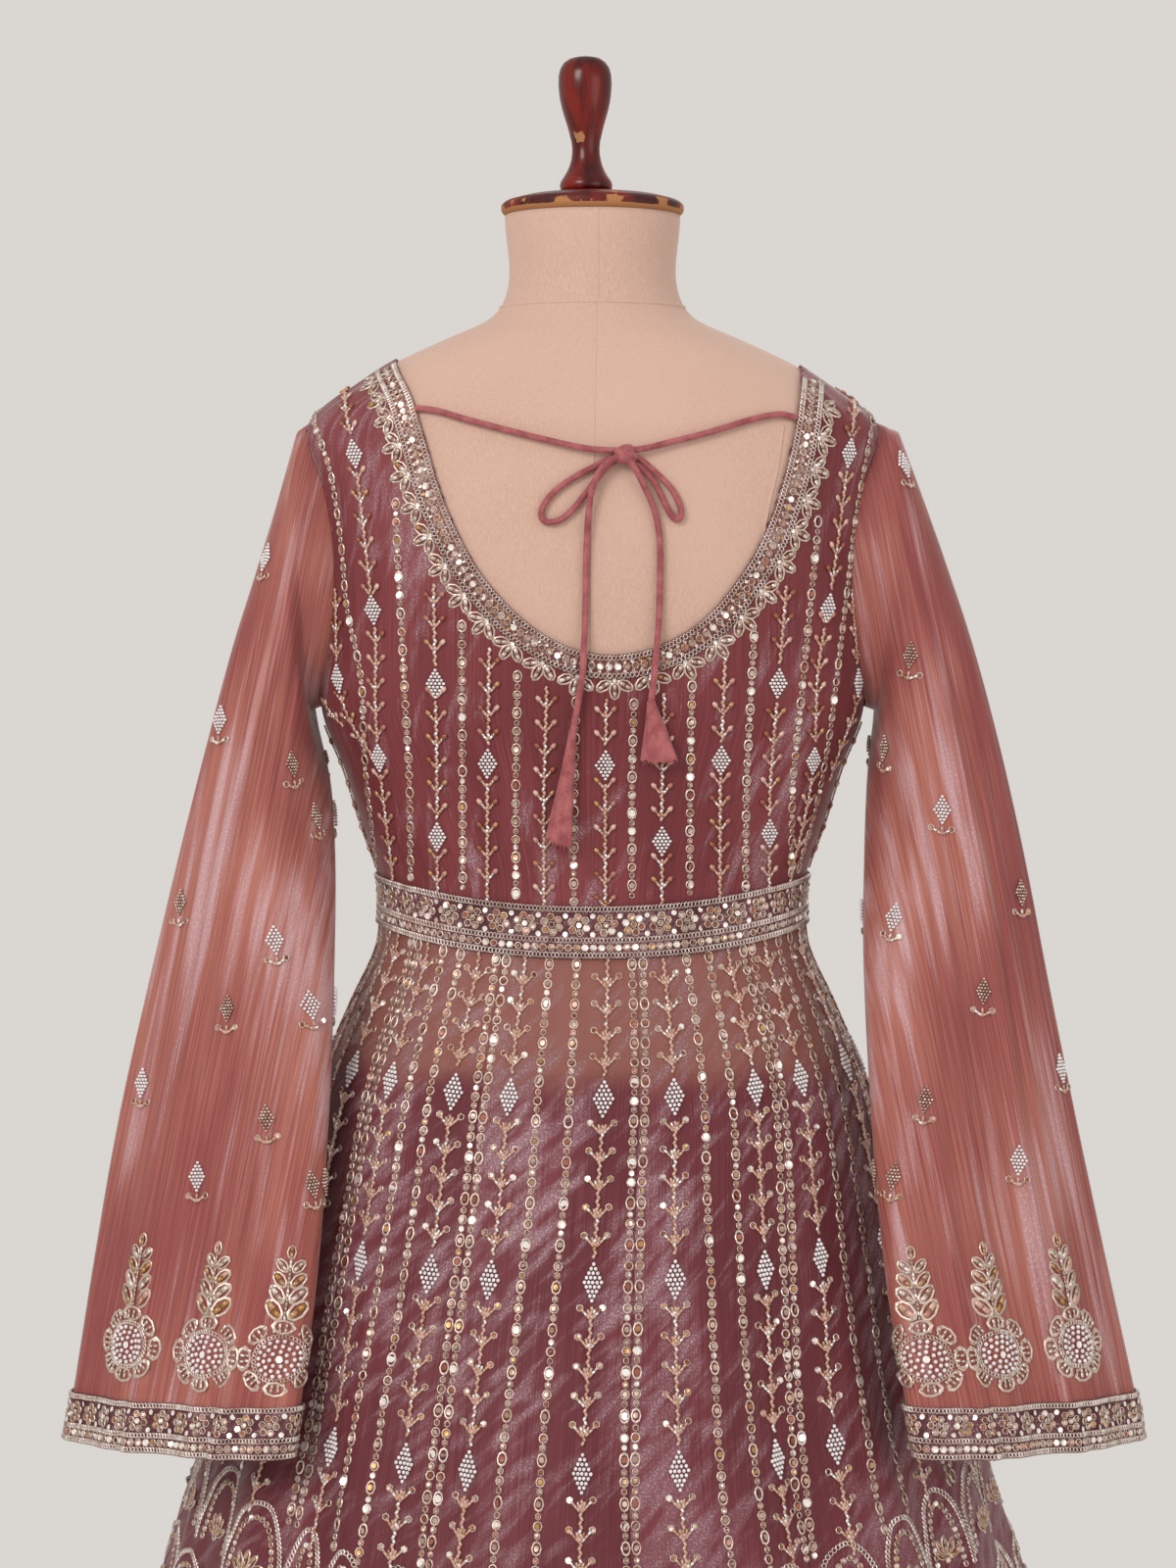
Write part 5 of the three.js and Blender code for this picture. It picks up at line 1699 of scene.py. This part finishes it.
for side in ("back", "front"):
    front = side == "front"
    work = BeadWork(31 if front else 32)
    for row in bodice_lines + bodice_vines:
        low = belt_edge(row["low"], front)
        xs = (row["low"], row["low"], row["high"], row["high"])
        zs = (low, line_foot, line_top, 1425)
        top = free_height(xs, zs, side, border_width + 13)
        xs = [np.interp(z, zs, xs) for z in (low, line_foot, min(line_top, top), top)]
        course = bodice_course(xs, (low, line_foot, min(line_top, top) - 0.01, top), front)
        if "diamonds" in row:
            bodice_vine(work, course, low, top, row["diamonds"])
        else:
            sequin_row(work, course, bodice_plan)
    for row in shoulder_lines + shoulder_vines:
        low = belt_edge(row["xs"][-1], front)
        course = bodice_course(row["xs"], (*row["zs"][:-1], low), front)
        if "diamonds" in row:
            bodice_vine(work, course, low, row["zs"][0], row["diamonds"])
        else:
            sequin_row(work, course, bodice_plan)
    for row in side_vines:
        turns = [180 - turn for turn in row["turns"]] if front else row["turns"]
        course = bodice_course(turns, row["zs"], front, turned=True)
        bodice_vine(work, course, row["zs"][-1], row["zs"][0], row["diamonds"])
    work.sewn("bodice_work_" + side)

# --- Skirt bead work ------------------------------------------------------------------------
# On every panel: a line of ringed sequins down each seam, two more down its middle, and two
# vines with pearl diamonds. They end at the scallops that run round the skirt above the hem.
skirt_plan = [(5.0, 3.3), (2.4, 2.1), (3.4, 3.1), (2.4, 2.1)]
skirt_columns = table(
    ("u", "offset", "kind"),
    (0.0, 3.4, "line"),
    (0.2, 0.0, "vine"),
    (0.39, 0.0, "line"),
    (0.59, 0.0, "line"),
    (0.785, 0.0, "vine"),
    (1.0, -3.4, "line"),
)
skirt_arms = table(
    ("lean", "beads", "foot", "tip", "clear"),
    (17, 2, 1.0, None, 16.0),
    (42, 3, 0.6, "sequin", 16.0),
)
# the panels whose lines draw aside as they go down, and by what share of the width
skirt_drift = {1: -0.04, 2: 0.14}
diamond_pitch, first_diamond = 117.0, 96.0
scallop_side, scallop_middle = 712.0, 664.0
scallop_count = 3


def scallop_edge(turn):
    """The height at which the upright lines end. It hangs lowest at the middle of the back."""
    return scallop_middle + (scallop_side - scallop_middle) * np.abs(np.sin(np.radians(turn))) ** 1.8


class Net:
    """A surface read off a close grid of its own points, which is quicker than its formula."""

    def __init__(self, surface, low, high, counts):
        self.low, self.counts = np.array(low, float), np.array(counts)
        self.step = (np.array(high) - self.low) / (self.counts - 1)
        first, second = (self.low[k] + self.step[k] * np.arange(counts[k]) for k in (0, 1))
        rows, columns = np.meshgrid(first, second, indexing="ij")
        self.points = surface(rows.ravel(), columns.ravel()).reshape(*counts, 3)

    def __call__(self, first, second):
        first, second = np.broadcast_arrays(np.asarray(first, float), np.asarray(second, float))
        spot = (np.stack([first, second]).T - self.low) / self.step
        spot = np.clip(spot, 0, self.counts - 1.001).T
        cell = spot.astype(int)
        part = (spot - cell)[..., None]
        (row, column), (down, along) = cell, part
        near = self.points[row, column] * (1 - along) + self.points[row, column + 1] * along
        far = self.points[row + 1, column] * (1 - along) + self.points[row + 1, column + 1] * along
        return near * (1 - down) + far * down


panel_nets = [
    Net(lambda u, share, index=index: panel_place(index, u, share, 0.75), (-0.3, 0), (1.3, 1), (121, 321))
    for index in range(panel_count)
]


def panel_course(index, u, offset, low_share, high_share, widths):
    def place(share, beside):
        row = low_share + share * (high_share - low_share)
        aside = skirt_drift.get(index, 0) * math.sin(math.pi * u) * np.minimum((1 - row) / 0.38, 1)
        across = u + aside + (offset + beside) / np.interp(row, share_rows, widths)
        return panel_nets[index](across, row)

    return measured(place)


for index in range(panel_count):
    work = BeadWork(40 + index)
    widths = panel_widths[index]
    for column in skirt_columns:
        turn = float(panel_turn(index, column["u"], np.array(700.0)))
        top = float(waist_seam(np.array(turn)))
        high_share = (top - belt_height / 2 + 1.5 - hem) / (top - hem)
        low_share = (float(scallop_edge(turn)) - 8 - hem) / (top - hem)
        course = panel_course(index, column["u"], column["offset"], low_share, high_share, widths)
        if column["kind"] == "line":
            sequin_row(work, course, skirt_plan)
        else:
            gaps = [course.length - first_diamond - diamond_pitch * step for step in range(5)]
            gaps = [gap for gap in gaps if gap > 16]
            forks = []
            for gap in gaps + [gaps[0] + diamond_pitch, gaps[-1] - diamond_pitch]:
                forks += [gap + step for step in (22, 40, 58, 76, 94)]
            forks = [fork for fork in forks if 4 < fork < course.length - 10]
            vine(work, course, 1.0, course.length - 1, sorted(forks), gaps, skirt_arms)
            diamond(work, course, gaps, wide=13.4, tall=25.4)
    work.sewn("skirt_work_%02d" % (index + 1))

# --- Scallops and hem -----------------------------------------------------------------------
# Below the upright lines the skirt is covered by rows of arches in chain stitch, each row
# half an arch aside of the one above, with sequins inside them. A chain borders the hem.
scallop_rows = table(
    ("drop", "tall", "aside", "full"),
    (0, 50, 0.0, True),
    (62, 50, 0.5, True),
    (146, 66, 0.0, False),
    (232, 66, 0.5, False),
    (322, 70, 0.0, False),
    (414, 70, 0.5, False),
    (508, 72, 0.0, False),
)


def panel_spot(index, u, z, widths):
    """A course round a place on the panel, told off in millimetres up and to the right."""
    top = float(waist_seam(panel_turn(index, u, np.array(z))))

    def place(distance, offset):
        share = (z + distance - hem) / (top - hem)
        return panel_nets[index](u + offset / np.interp(share, share_rows, widths), share)

    return Course(place)


def arch_course(middle, wide, tall, inset):
    """From an arch's left foot over its top to its right foot, inset towards its middle."""

    def place(share, offset):
        angle = math.pi * (1 - share)
        beside = (wide / 2 - inset - offset) * np.cos(angle)
        return middle.place((tall - inset - offset) * np.sin(angle), beside)

    return measured(place, 90)


for index in range(panel_count):
    work = BeadWork(60 + index)
    widths = panel_widths[index]
    for row in scallop_rows:
        for step in range(scallop_count):
            u = (step + row["aside"] + 0.5) / scallop_count
            turn = float(panel_turn(index, u, np.array(650.0)))
            foot = float(scallop_edge(turn)) - row["drop"] - row["tall"]
            middle = panel_spot(index, u, foot, widths)
            share = (foot - hem) / (waist_side - hem)
            wide = float(np.interp(share, share_rows, widths)) / scallop_count - 4
            outer = arch_course(middle, wide, row["tall"], 0)
            chain_row(work, outer, width=4.0, pitch=2.9 if row["full"] else 4.2)
            if row["full"]:
                inner = arch_course(middle, wide, row["tall"], 8.5)
                sequin_row(work, inner, [(2.3, 2.2)], gold=0.45, painted_glint_share=0.15)
            for lean in (-62, -31, 0, 31, 62):
                petal_ring(work, middle, 7.0, 0.0, lean, 2.2, (7.0, 2.8), tone=0.3)
            spots, ahead, out = middle.at(np.array([7.0]), 0.0)
            sequins(work, spots, ahead, out, 2.6, 2.6, 0.6, 0.2)
    top = float(waist_seam(panel_turn(index, 0.5, np.array(hem))))

    def hem_place(share, offset, index=index, top=top):
        return panel_nets[index](0.006 + share * 0.988, (9 - offset) / (top - hem))

    hem_course = measured(hem_place)
    chain_row(work, hem_course, -4.0, pitch=3.0)
    sequin_row(work, hem_course, [(2.7, 2.6)], offset=-10.0)
    chain_row(work, hem_course, -16.0, pitch=3.0)
    work.sewn("scallop_work_%02d" % (index + 1))

# --- Cuffs and sleeve bead work -------------------------------------------------------------
# Each cuff carries a band like the belt's. Above it stands a row of rosettes, each with a small
# tree of leaves, and single pearl diamonds with sprigs are scattered up the sleeve.
rosette_row, cuff_tall = 9.57, 31.0
rosette_turns = (69, 110, 154, 231, 273, 318)
sleeve_spots = {
    "left": [
        (36, 2.85), (44, 4.67), (48, 6.3), (126, 6.1), (124, 4.08), (156, 4.48), (97, 6.9), (158, 6.58),
        (47, 7.75), (130, 7.65), (93, 8.3), (170, 8.15),
    ],
    "right": [
        (36, 1.3), (144, 3.43), (100, 5.0), (148, 5.75), (89, 6.8), (46, 6.23), (35, 7.68), (134, 7.48),
        (84, 8.2), (165, 8.08), (96, 2.9),
    ],
}
gold_spots = {"left": (2, 4, 5, 6, 9, 11), "right": (1, 4, 5, 7, 9, 10)}
sleeve_nets = {}
for _, side in sides:

    def under_beads(turn, row, side=side):
        return sleeve_lifted(side, turn, row, 0.45)

    sleeve_nets[side] = Net(under_beads, (-180, 0), (540, sleeve_last), (361, 221))


def sleeve_spot(side, turn, row, wide=1.0):
    """A course round a place on the sleeve, told off in millimetres up and to the right.

    Work on it is drawn out sideways by wide.
    """
    near = sleeve_surface(side, turn, row + 0.2) - sleeve_surface(side, turn, row - 0.2)
    per_row = np.linalg.norm(near) / 0.4
    turns = turn - side * np.linspace(-70, 70, 141)
    steps = np.linalg.norm(np.diff(sleeve_nets[side](turns, row), axis=0), axis=1)
    gone = np.concatenate([[0], np.cumsum(steps)])
    gone = (gone - gone[70]) / wide

    def place(distance, offset):
        where = np.clip(row - distance / per_row, 0.2, sleeve_last)
        return sleeve_nets[side](np.interp(offset, gone, turns), where)

    return Course(place)


def upright_spot(side, turn, row):
    """A course round a place on the sleeve, for a small motif that stands upright there."""
    net = sleeve_nets[side]
    by_turn = (net(turn + 1.0, row) - net(turn - 1.0, row)) / 2
    by_row = (net(turn, row + 0.1) - net(turn, row - 0.1)) / 0.2
    out = np.cross(by_turn, by_row) * side
    out /= np.linalg.norm(out)
    up = np.array([0.08 * side, 0, 1]) - out * out[2]
    up /= np.linalg.norm(up)
    across = np.cross(up, out)
    turned = np.linalg.pinv(np.stack([by_turn, by_row], axis=1)).T

    def place(distance, offset):
        moved = (np.multiply.outer(distance, up) + np.multiply.outer(offset, across)) @ turned
        return net(turn + moved[..., 0], np.clip(row + moved[..., 1], 0.2, sleeve_last))

    return Course(place)


def circle_course(middle, radius):
    """Clockwise round a place, with its middle on the right."""

    def place(share, offset):
        angle = 2 * math.pi * share
        reach = radius - offset
        return middle.place(reach * np.cos(angle), reach * np.sin(angle))

    return measured(place, 90)


def rosette(work, middle):
    """A heart of pearls in a thread ring, with a wreath of broad petals filled with bugles."""
    spots, ahead, out = middle.at(np.array([0.0]), 0.0)
    work.lay("sequin", spots + out, ahead, out, (2.4, 2.4, 2.0), 0.87)
    for count, reach in ((7, 4.6), (13, 7.9), (18, 11.0)):
        angle = 2 * math.pi * np.arange(count) / count + reach
        spots, ahead, out = middle.at(reach * np.cos(angle), reach * np.sin(angle))
        work.lay("pearl", spots, ahead, out, (1.5, 1.5, 1.5), work.chance.uniform(0.93, 1.0, count))
    chain_row(work, circle_course(middle, 14.0), width=3.4, pitch=2.4)
    for petal in range(8):
        petal_ring(work, middle, 0.0, 0.0, 45 * petal, 14.6, (5.0, 8.2), beads=0)
        for fan in (-15, -5, 5, 15):
            bead_arm(work, middle, 0.0, 0.0, 45 * petal + fan, 2, 0.6, foot=16.2)


def leaf_tree(work, middle):
    """A stem with four pairs of broad leaves, getting smaller, and one at the top."""
    bead_arm(work, middle, 23.0, 0.0, 0, 14, 0.5)
    for step in range(4):
        size = (8.8 - 1.0 * step, 5.4 - 0.6 * step)
        for lean in (-44, 44):
            petal_ring(work, middle, 23.0 + 10.4 * step, 0.0, lean, 0.4, size, tone=0.6 if step % 2 else 0.28)
    petal_ring(work, middle, 63.0, 0.0, 0, 0.4, (4.8, 3.2), tone=0.3)


def sprigged_diamond(work, middle, gold):
    """A diamond of pearls, or of gold beads, over a pair of short beaded arms with sequins."""
    if gold:
        diamond(work, middle, 4.0, wide=10.4, tall=18.0, tones=(0.4, 0.72))
    else:
        diamond(work, middle, 4.0, wide=12.4, tall=19.6)
    bead_arm(work, middle, -13.0, 0.0, 0, 2, 0.2)
    for lean in (-58, 58):
        bead_arm(work, middle, -12.0, 0.0, lean, 2, 0.2)
        across = 7.4 * math.sin(math.radians(lean))
        spots, ahead, out = middle.at(np.array([-12.0 + 7.4 * math.cos(math.radians(lean))]), across)
        sequins(work, spots, ahead, out, 2.4, 2.4, 0.7, 0.1)


def cuff_place(side, lift):
    """Round the cuff, towards the right across the sleeve's back, with down on the right."""
    cuff_rows = np.linspace(10, sleeve_last, 25)
    spots = sleeve_surface(side, 90.0, cuff_rows)
    gone = np.concatenate([[0], np.cumsum(np.linalg.norm(np.diff(spots, axis=0), axis=1))])

    def place(share, offset):
        turn = 360 * (share if side < 0 else 1 - share)
        row = np.interp((offset / cuff_tall + 0.5) * gone[-1], gone, cuff_rows)
        return sleeve_lifted(side, turn, row, lift)

    return place


for side_name, side in sides:
    ground_place = cuff_place(side, 1.5)
    name = "cuff_ground_" + side_name
    mesh = cloth_grid(
        name,
        160,
        12,
        lambda u, v: ground_place(u, cuff_tall * (0.5 - v)),
        closed=True,
        cut=(0.425, cuff_tall / 1000),
    )
    piece = dress_piece(name, mesh, band_finish, ["cuff_border_" + side_name])
    give_wall(piece, 0.0009)
    work = BeadWork(80 if side < 0 else 81)
    band_work(work, measured(cuff_place(side, 1.7)), 0.9)
    for turn in rosette_turns:
        middle = sleeve_spot(side, turn, rosette_row, wide=1.22)
        rosette(work, middle)
        leaf_tree(work, middle)
    for index, (turn, row) in enumerate(sleeve_spots[side_name]):
        gold = index in gold_spots[side_name]
        sprigged_diamond(work, upright_spot(side, turn, row), gold)
        sprigged_diamond(work, upright_spot(side, 360 - turn, row), gold)
    work.sewn("sleeve_work_" + side_name)

# --- Cloth pieces and their work ------------------------------------------------------------
# Each skirt panel with its lining gore, each half of the bodice and each sleeve is looked up with
# the bead work and bands on it; nothing more is done with them here.
every = bpy.data.objects


for index in range(panel_count):
    number = "_%02d" % (index + 1)
    sewn_on = [every["skirt_work" + number], every["scallop_work" + number]]
    panel = skirt_panels[index]
    gore = lining_pieces[index]
for side in ("back", "front"):
    piece = bodice_pieces[side]
    border = "neck_border_" + side
    sewn_on = [every["bodice_work_" + side], every[border + "_ground"], every[border + "_work"]]
for side in ("left", "right"):
    piece = sleeve_pieces[side]
    sewn_on = [every["cuff_ground_" + side], every["sleeve_work_" + side]]
